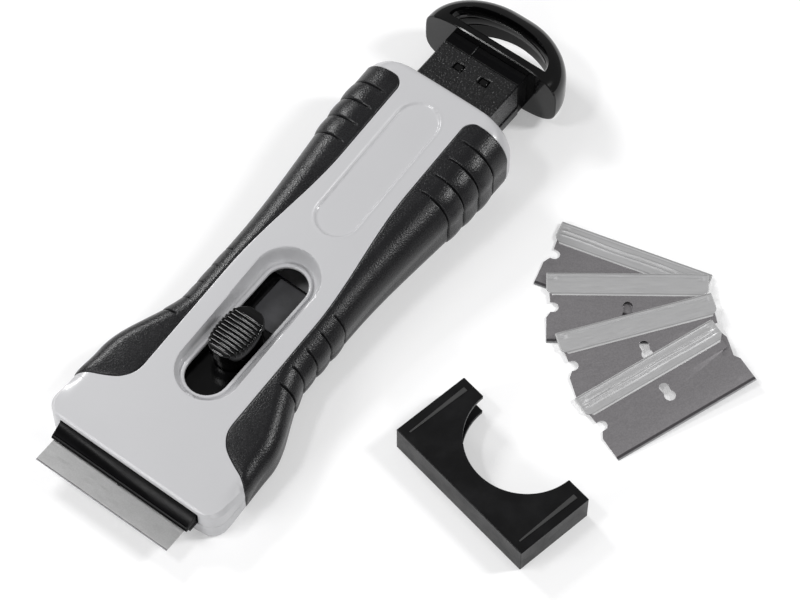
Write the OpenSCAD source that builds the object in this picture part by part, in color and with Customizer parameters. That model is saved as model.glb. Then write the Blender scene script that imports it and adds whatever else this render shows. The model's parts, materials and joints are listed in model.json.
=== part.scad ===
// Hand scraper for ceramic hobs, with its blade guard and four spare blades beside it.
// The handle is two shells with soft side grips. A carriage slides in its head and holds the blade.
// A thumb button locks the carriage. A magazine drawer with a hanging loop slides into the rear.
// Millimetres. The blade points to -Y, the loop to +Y, and Z is up. The origin lies on the underside,
// below the middle of the handle.

/* [Handle] */
// Length of the handle from the mouth to the rear edge
body_len = 122; // [120:0.5:130]
// Width of the head
head_w = 51; // [50.5:0.1:54]
// Width of the waist
waist_w = 35.8; // [35:0.1:38]
// Width of the rear end
rear_w = 42.6; // [41:0.1:46]
// Height of the handle at the mouth
front_h = 10; // [10:0.1:12]
// Height of the handle at the rear
rear_h = 22; // [21.5:0.1:25]
// Rounding of the long edges at the mouth
front_edge_r = 1; // [0.8:0.1:1.2]
// Rounding of the long edges, as a share of the height
edge_share = 0.36; // [0.28:0.01:0.42]
// Crown of the top face
crown = 0.4; // [0.2:0.1:0.6]
// Corner radius of the head, seen from above
head_corner_r = 4.6; // [3.5:0.1:5]
// Corner radius of the rear, seen from above
rear_corner_r = 4.4; // [3.5:0.1:5]
// Length of the straight head, from the mouth
head_len = 20; // [19:0.5:21]
// Length of the shoulder that narrows to the waist
shoulder_len = 24.5; // [23:0.5:27]
// Thickness of the shell walls
wall = 1.4; // [1.2:0.1:1.6]
// Thickness of the soft grips
grip_t = 1.5; // [1.2:0.1:1.6]
// Height of the parting line at the mouth
parting_front = 5; // [4.8:0.1:5.2]
// Height of the parting line at the rear
parting_rear = 9.5; // [8.5:0.1:11]

/* [Grips] */
// Half of the top strip between the grips, at the waist
strip_waist = 13.2; // [12.6:0.1:13.6]
// Half of the top strip between the grips, at the rear
strip_rear = 9.7; // [9:0.1:10.5]
// Distance from the mouth to the grips' front curve
grip_front = 14.8; // [14:0.1:16]
// Bare band behind the grips
grip_rear_gap = 4.2; // [3.5:0.1:5]
// Width of a groove in the grips
groove_w = 0.5; // [0.4:0.1:0.7]
// Depth of a groove in the grips
groove_d = 0.6; // [0.4:0.1:0.8]
// Number of grooves at the waist
waist_grooves = 5; // [3:1:5]
// Number of grooves at the rear
rear_grooves = 4; // [3:1:5]

/* [Thumb slot and label] */
// Half width of the slot
slot_r = 5.45; // [5.3:0.05:5.6]
// Length of the slot
slot_len = 39.2; // [38.4:0.1:40]
// Distance from the mouth to the slot
slot_front = 24.6; // [24:0.1:25.5]
// Width of the sunken band round the slot
slot_band = 2.5; // [2.2:0.1:2.8]
// Depth of the sunken band at its front end
slot_sink = 1.4; // [1.2:0.1:1.5]
// Slope of the sunken band, in degrees
slot_slope = 1.7; // [1:0.1:2.5]
// Height of the lip round the slot
slot_lip_h = 0.4; // [0.3:0.1:0.6]
// Width of the lip round the slot
slot_lip_w = 1.0; // [0.8:0.1:1.2]
// Half width of the label recess
label_r = 5.46; // [5:0.02:6]
// Length of the label recess
label_len = 41.8; // [38:0.1:43]
// Distance from the mouth to the label recess
label_front = 73.4; // [72:0.1:75]
// Depth of the label recess
label_d = 0.35; // [0.2:0.05:0.5]

/* [Blade] */
// Length of a blade along its edge
blade_len = 39; // [38:0.1:39.3]
// Width of a blade from its edge to its back
blade_w = 19; // [18.5:0.1:19.4]
// Thickness of a blade
blade_t = 0.25; // [0.2:0.05:0.3]
// Width of the folded back of a blade
spine_w = 6.2; // [5.6:0.1:6.6]
// Thickness of the folded back of a blade
spine_t = 1.1; // [0.9:0.05:1.2]
// Width of the ground bevel
bevel_w = 0.6; // [0.4:0.1:1]
// Distance from the edge to the middle of the keyhole's round end
keyhole_y = 7.6; // [7.4:0.1:7.8]
// Radius of the keyhole's round end
keyhole_r = 1.4; // [1.3:0.05:1.5]
// Length of the keyhole's narrow end
keyhole_slot = 2.5; // [2:0.1:2.8]
// Half width of the side notches
notch_r = 1.3; // [1.1:0.1:1.4]
// Depth of the side notches
notch_depth = 3; // [2.6:0.1:3.2]
// Distance from the edge to the side notches
notch_y = 9.6; // [9.2:0.1:10]
// Height of the blade's underside in the scraper
blade_z = 5.7; // [5.6:0.05:5.8]
// How far the edge stands out of the mouth
blade_out = 10.2; // [9.5:0.1:10.5]

/* [Carriage] */
// Width of the jaws
jaw_w = 40.4; // [40:0.1:40.6]
// Length of the jaws
jaw_len = 18.4; // [18:0.1:19]
// How far the jaws stand out of the mouth
jaw_out = 3.8; // [3.5:0.1:4.2]
// Thickness of the lower jaw
jaw_t = 1.05; // [0.95:0.05:1.1]
// Width of the carriage's tongue
tongue_w = 24; // [23.5:0.1:24.2]
// Length of the tongue behind the jaws
tongue_len = 47.6; // [46.5:0.1:48]
// Thickness of the slide cover
cover_t = 0.9; // [0.8:0.05:1]
// Forward travel from the working place, to change the blade
travel_out = 7; // [6:0.1:7.2]
// Rearward travel from the working place, to sheathe the blade
travel_in = 15; // [14:0.1:15.2]

/* [Button] */
// Distance from the mouth to the button's middle
button_y = 40.2; // [39.8:0.1:40.6]
// Width of the button's ribbed cap
button_w = 10; // [10:0.1:10.6]
// Length of the button's ribbed cap
button_l = 15.4; // [14.5:0.1:15.6]
// Height of the cap's top above the table
button_top = 16.8; // [16.5:0.1:17.5]
// Thickness of the cap
button_cap_h = 3.8; // [3.4:0.1:4]
// Number of ribs on the cap
button_ribs = 11; // [9:1:12]
// Travel of the button when it is pressed
button_press = 0.8; // [0.6:0.1:0.8]

/* [Magazine] */
// Width of the magazine cover
mag_w = 22.5; // [22.3:0.1:22.6]
// Height of the magazine's top above the table
mag_top = 16.2; // [16:0.1:16.3]
// Height of the seam between cover and tray
mag_seam = 7.4; // [7:0.1:7.8]
// Height of the magazine's underside
mag_bottom = 4.2; // [4:0.1:4.4]
// Length of the magazine ahead of the end plate
mag_len = 42.6; // [42.4:0.1:43]
// How far the tray's sides stand proud of the cover's
tray_step = 0.3; // [0.2:0.1:0.4]
// How far the drawer stands open
drawer_open = 17.7; // [17:0.1:18]
// Width of each window in the cover
window_w = 2.8; // [2.5:0.1:3]
// Length of each window in the cover
window_l = 2.2; // [1.9:0.1:2.4]
// Distance between the windows' middles
window_gap = 7.6; // [7.4:0.1:8.2]

/* [Hanging loop] */
// Width of the end plate
plate_w = 40; // [39:0.1:41]
// Height of the end plate
plate_h = 18.3; // [18:0.1:19]
// Gap under the end plate
plate_lift = 0.8; // [0.6:0.1:1]
// Thickness of the end plate's straight edge
plate_t = 1.2; // [1:0.1:1.6]
// Depth of the loop behind the plate's front face
loop_len = 15.6; // [15:0.1:17]
// Half width of the loop's hole, at its top
hole_half = 14; // [13.6:0.1:14.4]
// Distance from the plate's front face to the hole
hole_front = 3.2; // [3:0.1:3.4]
// Depth of the hole at its top, along the handle
hole_depth = 6.7; // [6.4:0.1:7]
// How much wider the hole gets at each of its two steps, on each side
hole_step = 0.65; // [0.5:0.05:0.8]
// How much deeper the hole gets at each of its two steps
hole_ledge = 1.8; // [1.6:0.1:1.9]

/* [Blade guard] */
// Length of the guard
guard_l = 42.7; // [42.5:0.1:43.5]
// Width of the guard
guard_w = 21.1; // [20.8:0.1:21.5]
// Height of the guard
guard_h = 8.4; // [8.2:0.1:9]
// Thickness of the guard's side and back walls
guard_wall = 0.85; // [0.75:0.05:0.9]
// Thickness of the guard's top and bottom walls
guard_skin = 1.2; // [1:0.1:1.4]
// Radius of the half moon in the guard
moon_r = 14.6; // [14:0.1:15]
// Width of the two ribs on the guard
guard_rib_w = 1.0; // [0.8:0.1:1.2]
// Length of the two ribs on the guard
guard_rib_l = 17.6; // [16:0.1:18]
// Height of the two ribs on the guard
guard_rib_h = 0.2; // [0.1:0.05:0.3]

/* [Screws] */
// Shank radius of the shell screws
screw_r = 1.1; // [1:0.05:1.2]
// Head radius of the shell screws
screw_head_r = 2.1; // [1.9:0.05:2.2]
// Length of the shell screws
screw_len = 9; // [8.5:0.1:9.5]
// Radius of the front screw bosses
front_boss_r = 2.2; // [2.1:0.05:2.3]
// Radius of the rear screw bosses
rear_boss_r = 3.1; // [2.9:0.05:3.2]

/* [Clearances] */
// Gap between sliding parts, side to side
side_gap = 0.35; // [0.3:0.05:0.4]
// Gap under a part that slides on its runner
runner_gap = 0.05; // [0.04:0.01:0.1]
// Gap between pieces that are clamped or stacked
seat_gap = 0.05; // [0.03:0.01:0.08]
// Radial clearance of the hinge pin
pin_gap = 0.05; // [0.03:0.01:0.08]

/* [Hidden] */
$fn = 48;
eps = 0.01;

shell_colour = [0.77, 0.77, 0.78];
grip_colour = [0.09, 0.09, 0.1];
black_colour = [0.05, 0.05, 0.055];
plate_colour = [0.2, 0.2, 0.21];
steel_colour = [0.55, 0.54, 0.55];
back_colour = [0.68, 0.69, 0.7];

front = -body_len/2;
rear = body_len/2;
rise = (rear_h - front_h)/body_len;
flare_start = head_len + shoulder_len + 18;
flare_len = body_len - flare_start - 7;

// Outline of the handle, seen from above: half its width at each place along it
function smooth(t) = let (u = min(max(t, 0), 1)) u*u*(3 - 2*u);
function corner_cut(d, r) = d >= r ? 0 : r - sqrt(r*r - (r - d)*(r - d));
function half_w(y) = head_w/2
    + (waist_w - head_w)/2*smooth((y - front - head_len)/shoulder_len)
    + (rear_w - waist_w)/2*smooth((y - front - flare_start)/flare_len);
function plan_half(y) = half_w(y)
    - corner_cut(y - front, head_corner_r) - corner_cut(rear - y, rear_corner_r);

// Side profile of the handle: heights of its top and underside at each place along it
lip_round = 0.8;
rear_round = 1.6;
function top_z(y) = front_h + rise*(y - front)
    - corner_cut(y - front, lip_round) - corner_cut(rear - y, rear_round);
function under_z(y) = corner_cut(y - front, lip_round) + corner_cut(rear - y, rear_round);
function parting_z(y) = parting_front + (parting_rear - parting_front)*(y - front)/body_len;

// Stations along the handle, closer together where its ends are rounded
end_steps = [0, 0.04, 0.12, 0.3, 0.6, 1];
mid_count = 19;
mid_a = front + head_corner_r;
mid_b = rear - rear_corner_r;
stations = concat([for (s = end_steps) front + s*head_corner_r],
    [for (i = [1:mid_count - 1]) mid_a + (mid_b - mid_a)*i/mid_count],
    [for (i = [len(end_steps) - 1:-1:0]) rear - end_steps[i]*rear_corner_r]);

// One cross section: a rounded rectangle with a crowned top, drawn in by an inset
arc_count = 4;
function edge_round(y) = let (blend = smooth((y - front)/head_len))
    front_edge_r*(1 - blend) + edge_share*(front_h + rise*(y - front))*blend;
function arc(w, zc, r, a0, lift) = [for (i = [0:arc_count]) let (a = a0 + 90*i/arc_count,
        side = (a0 == 0 || a0 == 270) ? 1 : -1, x = side*(w - r) + r*cos(a))
    [x, zc + r*sin(a) + lift*(1 - (x/w)*(x/w))*sin(a)]];
function section(y, inset) = let (w = plan_half(y) - inset, lift = crown*smooth((y - front)/8),
        zt = top_z(y) - lift - inset, zb = under_z(y) + inset,
        r = max(min(edge_round(y) - inset, (zt - zb)*0.48), 0.3))
    [for (p = concat(arc(w, zt - r, r, 0, lift), [[0, zt + lift]], arc(w, zt - r, r, 90, lift),
        arc(w, zb + r, r, 180, 0), arc(w, zb + r, r, 270, 0))) [p[0], y, p[1]]];

// Joins a row of cross sections into one closed solid with triangular faces
module loft(sections) {
    n = len(sections[0]);
    m = len(sections);
    polyhedron(points = [for (s = sections) for (p = s) p],
        faces = concat(
            [for (j = [0:m - 2]) for (i = [0:n - 1]) [j*n + i, j*n + (i + 1)%n, (j + 1)*n + i]],
            [for (j = [0:m - 2]) for (i = [0:n - 1])
                [j*n + (i + 1)%n, (j + 1)*n + (i + 1)%n, (j + 1)*n + i]],
            [[for (i = [n - 1:-1:0]) i]],
            [[for (i = [0:n - 1]) (m - 1)*n + i]]));
}
module outer() loft([for (y = stations) section(y, 0)]);
module inner(inset, y0, y1) loft(concat([section(y0, inset)],
    [for (y = stations) if (y > y0 + 0.5 && y < y1 - 0.5) section(y, inset)], [section(y1, inset)]));

// Extrudes a profile that is drawn in Y and Z across the handle, centred on it
module across(w) translate([-w/2, 0, 0]) rotate([90, 0, 90]) linear_extrude(w) children();

// A slot shape from y0 to y1 with round ends
module stadium(r, y0, y1) {
    translate([0, y0 + r]) circle(r);
    translate([0, y1 - r]) circle(r);
    translate([-r, y0 + r]) square([2*r, y1 - y0 - 2*r]);
}

// A rectangle with round corners, from a low corner to a high corner
module round_box(a, b, r) {
    translate([a[0] + r, a[1]]) square([b[0] - a[0] - 2*r, b[1] - a[1]]);
    translate([a[0], a[1] + r]) square([b[0] - a[0], b[1] - a[1] - 2*r]);
    for (x = [a[0] + r, b[0] - r]) for (y = [a[1] + r, b[1] - r]) translate([x, y]) circle(r);
}

// The grips cover everything outside this outline, seen from above
grip_y0 = front + grip_front;
grip_y1 = rear - grip_rear_gap;
grip_curve_r = 8.3;
grip_corner_r = 3.2;
grip_waist_y = grip_y0 + grip_curve_r;
function strip_half(y) = strip_waist + (strip_rear - strip_waist)*smooth((y - front - 53)/40);
module grip_zone() {
    far = head_w;
    centre = [strip_waist + grip_curve_r, grip_waist_y];
    linear_extrude(rear_h + 2, center = false) polygon(concat(
        [[far, grip_y0 - 10.2], [head_w/2 + 2, grip_y0 - 5.2], [centre[0] + 0.6, grip_y0 - 1.2]],
        [for (a = [262:-8:182]) centre + grip_curve_r*[cos(a), sin(a)]],
        [for (i = [0:16]) let (y = grip_waist_y + (grip_y1 - grip_corner_r - grip_waist_y)*i/16)
            [strip_half(y), y]],
        [for (a = [160:-20:100]) [strip_rear + grip_corner_r + grip_corner_r*cos(a),
            grip_y1 - grip_corner_r + grip_corner_r*sin(a)]],
        [[strip_rear + grip_corner_r, grip_y1], [far, grip_y1]]));
}

// On the underside the grips end just inside the rounded edge
belly_edge = 2.6;
belly_top = 3.6;
belly_count = 16;
module belly() {
    ys = [for (i = [0:belly_count]) grip_y0 - 12 + (grip_y1 + 14 - grip_y0)*i/belly_count];
    translate([0, 0, -1]) linear_extrude(belly_top + 1) polygon(concat(
        [for (y = ys) [half_w(y) - belly_edge, y]],
        [for (i = [belly_count:-1:0]) [belly_edge - half_w(ys[i]), ys[i]]]));
}

// Levels of the sliding parts
mouth_half = jaw_w/2 + side_gap;
bay_half = mag_w/2 + tray_step + side_gap;
fence_t = 1.1;
rear_chamfer = 3;
mouth_top = front_h - 1.05;
carrier_z = blade_z - jaw_t;
clamp_z = blade_z + blade_t + seat_gap;
clamp_top = mouth_top - 0.1;
deck_z = clamp_top - 0.45;
cover_z = deck_z - cover_t;
floor_z = wall + 0.2;
jaw_y0 = front - jaw_out;
jaw_y1 = jaw_y0 + jaw_len;
tongue_y1 = jaw_y1 + tongue_len;
edge_y = front - blade_out;
back_y = edge_y + blade_w;
bay_y = jaw_y1 + travel_in + 0.3;
mid_y = front + button_y;

// The sunken band round the slot: its plane rises gently towards the rear
slot_y0 = front + slot_front;
slot_y1 = slot_y0 + slot_len;
band_z = front_h + rise*(slot_front - slot_band) - slot_sink;
module on_band(z) translate([0, slot_y0, band_z]) rotate([slot_slope, 0, 0]) translate([0, 0, z]) children();
module slot_shape(grow, h) linear_extrude(h) stadium(slot_r + grow, -grow, slot_len + grow);
pan_t = 1.6;
pan_wall = 1.3;

// Notched rails under the band, which the lock spring's bumps catch in
rail_x0 = 7.6;
rail_x1 = 9.4;
rail_z = deck_z + side_gap;
rail_y0 = mid_y - travel_out - 4;
rail_y1 = mid_y + travel_in + 4;
bump_r = 0.8;
catch_depth = 0.6;
module rails() {
    for (s = [-1, 1]) difference() {
        translate([s*(rail_x0 + rail_x1)/2 - (rail_x1 - rail_x0)/2, rail_y0, rail_z])
            cube([rail_x1 - rail_x0, rail_y1 - rail_y0, 1.75]);
        for (y = [mid_y - travel_out, mid_y, mid_y + travel_in])
            translate([s*rail_x0 - (s < 0 ? 2 : 0) - 1, y - bump_r - 0.2, rail_z - 1])
                cube([rail_x1 - rail_x0 + 3, 2*bump_r + 0.4, 1 + catch_depth]);
    }
}

// Screw bosses beside the carriage and beside the magazine: X, Y, radius, and how deep the head sits
boss_places = [[16.6, jaw_y1 + travel_in + front_boss_r + 0.6, front_boss_r, 1.2],
    [bay_half + fence_t + rear_boss_r - 0.25, rear - 11, rear_boss_r, 4.4]];
module boss_bodies(z0, z1) for (p = boss_places) for (s = [-1, 1])
    translate([s*p[0], p[1], z0]) cylinder(h = z1 - z0, r = p[2]);
module boss_bores() for (p = boss_places) for (s = [-1, 1]) translate([s*p[0], p[1], -1]) {
    cylinder(h = p[3] + screw_len + 1, r = screw_r + eps);
    cylinder(h = p[3] + 1 + eps, r = screw_head_r + 0.1);
}

// The space inside the shells
bay_wall = 1.6;
front_wall = 1.6;
module cavity() {
    y0 = front + front_wall;
    y1 = rear - bay_wall;
    difference() {
        union() {
            intersection() {
                inner(wall + grip_t, y0, y1);
                translate([-head_w, y0, floor_z]) cube([2*head_w, body_len, rear_h]);
            }
            intersection() {
                inner(wall + 0.2, y0, y1);
                translate([0.5 - strip_rear, y0, floor_z]) cube([2*strip_rear - 1, body_len, rear_h]);
            }
            translate([0, 0, carrier_z - 0.1]) linear_extrude(mouth_top - carrier_z + 0.1) polygon([
                [-mouth_half, y0 - eps], [mouth_half, y0 - eps], [mouth_half, bay_y - rear_chamfer],
                [mouth_half - rear_chamfer, bay_y], [-mouth_half + rear_chamfer, bay_y],
                [-mouth_half, bay_y - rear_chamfer]]);
        }
        on_band(-pan_t) slot_shape(slot_band + pan_wall, 12);
    }
}

// Half of the handle above or below the parting line
module above() across(head_w + 10) polygon([[front - 5, parting_z(front - 5)], [rear + 5, parting_z(rear + 5)],
    [rear + 5, rear_h + 5], [front - 5, rear_h + 5]]);
module below() across(head_w + 10) polygon([[front - 5, -5], [rear + 5, -5],
    [rear + 5, parting_z(rear + 5)], [front - 5, parting_z(front - 5)]]);
module mouth() translate([-mouth_half, front - 1, carrier_z - 0.1])
    cube([2*mouth_half, front_wall + 2, mouth_top - carrier_z + 0.1]);
module bay_mouth() translate([-bay_half, rear - bay_wall - 1, mag_bottom - runner_gap])
    cube([2*bay_half, bay_wall + 2, mag_top + side_gap - mag_bottom + runner_gap]);
module grip_skin() difference() {
    union() {
        grip_zone();
        mirror([1, 0, 0]) grip_zone();
    }
    inner(grip_t, front + 1.2, rear - 1.2);
    belly();
}

module top_shell() color(shell_colour) {
    difference() {
        intersection() {
            outer();
            above();
        }
        grip_skin();
        cavity();
        mouth();
        bay_mouth();
        difference() {
            on_band(0) slot_shape(slot_band, 12);
            on_band(-1) slot_shape(slot_lip_w, 1 + slot_lip_h);
        }
        on_band(-pan_t - 3) slot_shape(0, 14);
        translate([0, front + label_front, front_h + rise*label_front - label_d])
            rotate([atan(rise), 0, 0]) linear_extrude(3) stadium(label_r, 0, label_len);
    }
    rails();
    difference() {
        intersection() {
            boss_bodies(parting_front, rear_h);
            inner(grip_t + 0.3, front + 2, rear - 2);
            above();
        }
        boss_bores();
    }
}

// Runners that carry the carriage and the magazine, and fences that guide them
runner_x = 8;
runner_w = 1.2;
fence_x = tongue_w/2 + side_gap;
mag_runner_x = 6;
module bottom_shell() color(shell_colour) {
    fence_h = 2.2;
    difference() {
        union() {
            difference() {
                intersection() {
                    outer();
                    below();
                }
                grip_skin();
                cavity();
            }
            for (s = [-1, 1]) {
                translate([s*runner_x - runner_w/2, front + wall, floor_z - eps])
                    cube([runner_w, tongue_y1 + travel_in - front - wall, carrier_z - runner_gap - floor_z + eps]);
                translate([s > 0 ? fence_x : -fence_x - fence_t, jaw_y1 + travel_in + 1, floor_z - eps])
                    cube([fence_t, tongue_len - 8, carrier_z + fence_h - floor_z]);
                translate([s*mag_runner_x - runner_w/2, rear - mag_len, floor_z - eps])
                    cube([runner_w, mag_len, mag_bottom - runner_gap - floor_z + eps]);
                translate([s > 0 ? bay_half : -bay_half - fence_t, rear - mag_len + 2, floor_z - eps])
                    cube([fence_t, mag_len - 2, parting_rear - 2.5 - floor_z]);
            }
            translate([-mouth_half, front + 0.8, floor_z - eps])
                cube([2*mouth_half, 3.5, carrier_z - 0.1 - floor_z + eps]);
            intersection() {
                boss_bodies(grip_t, rear_h);
                inner(grip_t + 0.3, front + 2, rear - 2);
                below();
            }
        }
        mouth();
        bay_mouth();
        boss_bores();
    }
}

// Self-tapping screws with a cross recess, driven from below
module shell_screws() color(steel_colour) for (p = boss_places) for (s = [-1, 1])
    translate([s*p[0], p[1], p[3] + eps]) difference() {
        union() {
            translate([0, 0, -0.9]) cylinder(h = 0.9, r = screw_head_r);
            cylinder(h = screw_len - 0.6, r = screw_r);
        }
        for (a = [0, 90]) rotate(a) translate([-1.2, -0.25, -1]) cube([2.4, 0.5, 0.6]);
    }

// Grooves that cross the grips: five at the waist and four at the rear
waist_groove_y = front + 36.2;
waist_groove_step = 5.35;
rear_groove_y = front + 95.2;
rear_groove_step = 5.5;
module grooves(side) difference() {
    union() {
        for (i = [0:waist_grooves - 1]) translate([side > 0 ? strip_waist + 1.2 : -strip_waist - 15.2,
            waist_groove_y + i*waist_groove_step, 0]) cube([14, groove_w, rear_h + 2]);
        for (i = [0:rear_grooves - 1]) translate([side > 0 ? strip_rear + 3.4 : -strip_rear - 17.4,
            rear_groove_y + i*rear_groove_step, 0]) cube([14, groove_w, rear_h + 2]);
    }
    inner(groove_d, front + 1.2, rear - 1.2);
}
module grip(side) color(grip_colour) difference() {
    intersection() {
        outer();
        mirror([side > 0 ? 0 : 1, 0, 0]) grip_zone();
    }
    inner(grip_t, front + 1.2, rear - 1.2);
    belly();
    grooves(side);
}
module right_grip() grip(1);
module left_grip() grip(-1);

// One blade, flat in X and Y with its edge on Y = 0 and its underside on Z = 0
module blade() color(steel_colour) {
    half_l = blade_len/2;
    shoulder = notch_y - notch_r;
    difference() {
        intersection() {
            across(blade_len) polygon([[0, blade_t/2], [bevel_w, 0], [blade_w - 0.2, 0],
                [blade_w - 0.2, blade_t], [bevel_w, blade_t]]);
            translate([0, 0, -1]) linear_extrude(2) polygon([[-half_l, 0], [half_l, 0], [half_l, shoulder - 1.6],
                [half_l - 1.8, shoulder], [half_l - 0.9, shoulder + 2*notch_r], [half_l - 0.4, blade_w],
                [0.4 - half_l, blade_w], [0.9 - half_l, shoulder + 2*notch_r], [1.8 - half_l, shoulder],
                [-half_l, shoulder - 1.6]]);
        }
        translate([0, keyhole_y, -1]) {
            cylinder(h = 2, r = keyhole_r);
            linear_extrude(2) stadium(keyhole_r*0.72, 0, keyhole_slot + keyhole_r*0.72);
        }
        for (s = [-1, 1]) {
            translate([s*(half_l - notch_depth + notch_r), notch_y, -1]) cylinder(h = 2, r = notch_r);
            translate([s*(half_l - notch_depth + notch_r + 2) - 2, shoulder, -1]) cube([4, 2*notch_r, 2]);
        }
    }
}

// Its folded back: a strip bent round the blade, with clipped corners
module blade_back() color(back_colour) {
    clip = 1.8;
    half_l = blade_len/2;
    intersection() {
        across(blade_len) polygon([[blade_w - spine_w, (blade_t - spine_t)/2], [blade_w, (blade_t - spine_t)/2],
            [blade_w, (blade_t + spine_t)/2], [blade_w - spine_w, (blade_t + spine_t)/2],
            [blade_w - spine_w, blade_t], [blade_w - 0.2, blade_t], [blade_w - 0.2, 0], [blade_w - spine_w, 0]]);
        translate([0, 0, -2]) linear_extrude(4) polygon([[-half_l, blade_w], [half_l, blade_w],
            [half_l, blade_w - spine_w + clip], [half_l - clip, blade_w - spine_w],
            [-half_l + clip, blade_w - spine_w], [-half_l, blade_w - spine_w + clip]]);
    }
}
module scraper_blade() translate([0, edge_y, blade_z]) blade();
module scraper_blade_back() translate([0, edge_y, blade_z]) blade_back();

// The carriage: a thin lower jaw with a seat for the blade's back, and a tongue with a pocket
hinge_y = jaw_y1 - 1.6;
hinge_z = clamp_z + 1.3;
hinge_r = 0.6;
seat_z = blade_z + blade_t/2 - spine_t/2 - seat_gap;
pocket_y0 = mid_y - button_l/2 - 2.4;
pocket_y1 = mid_y + button_l/2 + 2.4;
pocket_half = 10.2;
pocket_z = carrier_z + 0.55;
cover_screw_x = 9.4;
cover_screw_ys = [jaw_y1 + 4, tongue_y1 - 3];
module jaw_plan(y0) polygon([[-jaw_w/2, y0], [jaw_w/2, y0], [jaw_w/2, jaw_y1 - rear_chamfer],
    [jaw_w/2 - rear_chamfer, jaw_y1], [-jaw_w/2 + rear_chamfer, jaw_y1], [-jaw_w/2, jaw_y1 - rear_chamfer]]);
ear_w = 4;
module blade_carrier() color(black_colour) {
    stud_h = 0.35;
    difference() {
        union() {
            translate([0, 0, carrier_z]) linear_extrude(jaw_t - seat_gap) jaw_plan(jaw_y0 + 1.2);
            translate([-jaw_w/2 + rear_chamfer, back_y + 0.3, carrier_z]) cube([jaw_w - 2*rear_chamfer, jaw_y1 - back_y - 0.3, jaw_t]);
            translate([-tongue_w/2, jaw_y1 - eps, carrier_z]) cube([tongue_w, tongue_len, cover_z - carrier_z]);
            for (s = [-1, 1]) translate([s*9 - ear_w/2, jaw_y1 - 3.2, carrier_z])
                cube([ear_w, 3.3, hinge_z + 1.1 - carrier_z]);
            translate([0, edge_y + keyhole_y + keyhole_slot/2, blade_z - seat_gap - eps])
                cylinder(h = stud_h, r = keyhole_r*0.72 - 0.1);
        }
        translate([-blade_len/2 - 0.3, back_y - spine_w - 0.2, seat_z])
            cube([blade_len + 0.6, spine_w + 0.4, 3]);
        translate([0, hinge_y, hinge_z]) rotate([0, 90, 0]) cylinder(h = jaw_w, r = hinge_r + eps, center = true);
        translate([-pocket_half, pocket_y0, pocket_z]) cube([2*pocket_half, pocket_y1 - pocket_y0, 4]);
        for (y = cover_screw_ys) for (s = [-1, 1]) translate([s*cover_screw_x, y, carrier_z + 0.6])
            cylinder(h = 4, r = 0.5 + eps);
    }
}

// The upper jaw: a flap with a sloping nose, hinged behind the blade
module blade_clamp() color(black_colour) difference() {
    intersection() {
        across(jaw_w) polygon([[jaw_y0, clamp_z], [jaw_y0, clamp_z + 0.45], [jaw_y0 + 0.25, clamp_z + 0.75],
            [front - 0.1, clamp_top], [jaw_y1 - 1, clamp_top], [jaw_y1 - 0.1, clamp_top - 1], [jaw_y1 - 0.1, clamp_z]]);
        linear_extrude(rear_h) jaw_plan(jaw_y0);
    }
    translate([-blade_len/2 - 0.3, back_y - spine_w - 0.2, clamp_z - 1])
        cube([blade_len + 0.6, spine_w + 0.4, 1 + (spine_t - blade_t)/2 + 0.05]);
    translate([0, edge_y + keyhole_y + keyhole_slot/2, clamp_z - 1]) cylinder(h = 1.5, r = keyhole_r);
    for (s = [-1, 1]) translate([s*9 - ear_w/2 - 0.2, jaw_y1 - 3.5, clamp_z - 1]) cube([ear_w + 0.4, 4, 6]);
    translate([0, hinge_y, hinge_z]) rotate([0, 90, 0]) cylinder(h = jaw_w + 2, r = hinge_r + pin_gap, center = true);
    translate([-tongue_w/2 + 4, jaw_y1 - 1.3, clamp_z - 1]) cube([tongue_w - 8, 3, 6]);
}
module clamp_pin() color(steel_colour) translate([0, hinge_y, hinge_z]) rotate([0, 90, 0])
    cylinder(h = jaw_w - 2*rear_chamfer - 1, r = hinge_r, center = true);

// The plate that closes the tongue's pocket and shows through the thumb slot
neck_half = slot_r - 0.55;
neck_l = button_l - 1.8;
arm_w = 5.2;
module slide_cover() color(plate_colour) difference() {
    translate([-tongue_w/2 + 0.6, jaw_y1 + 0.6, cover_z]) linear_extrude(cover_t)
        round_box([0, 0], [tongue_w - 1.2, tongue_len - 1.2], 1);
    translate([0, mid_y - neck_l/2 - 0.25, cover_z - 1]) linear_extrude(cover_t + 2)
        stadium(neck_half + 0.25, 0, neck_l + 0.5);
    for (s = [-1, 1]) translate([s*(rail_x0 + rail_x1)/2 - 1.2, mid_y - arm_w/2 - 0.4, cover_z - 1])
        cube([2.4, arm_w + 0.8, cover_t + 2]);
    for (y = cover_screw_ys) for (s = [-1, 1]) translate([s*cover_screw_x, y, cover_z - 1])
        cylinder(h = cover_t + 2, r = 0.5 + eps);
}
module cover_screws() color(steel_colour) for (y = cover_screw_ys) for (s = [-1, 1])
    translate([s*cover_screw_x, y, 0]) {
        translate([0, 0, carrier_z + 1]) cylinder(h = deck_z - carrier_z - 1, r = 0.5);
        translate([0, 0, deck_z]) cylinder(h = 0.3, r = 1);
    }

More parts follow.
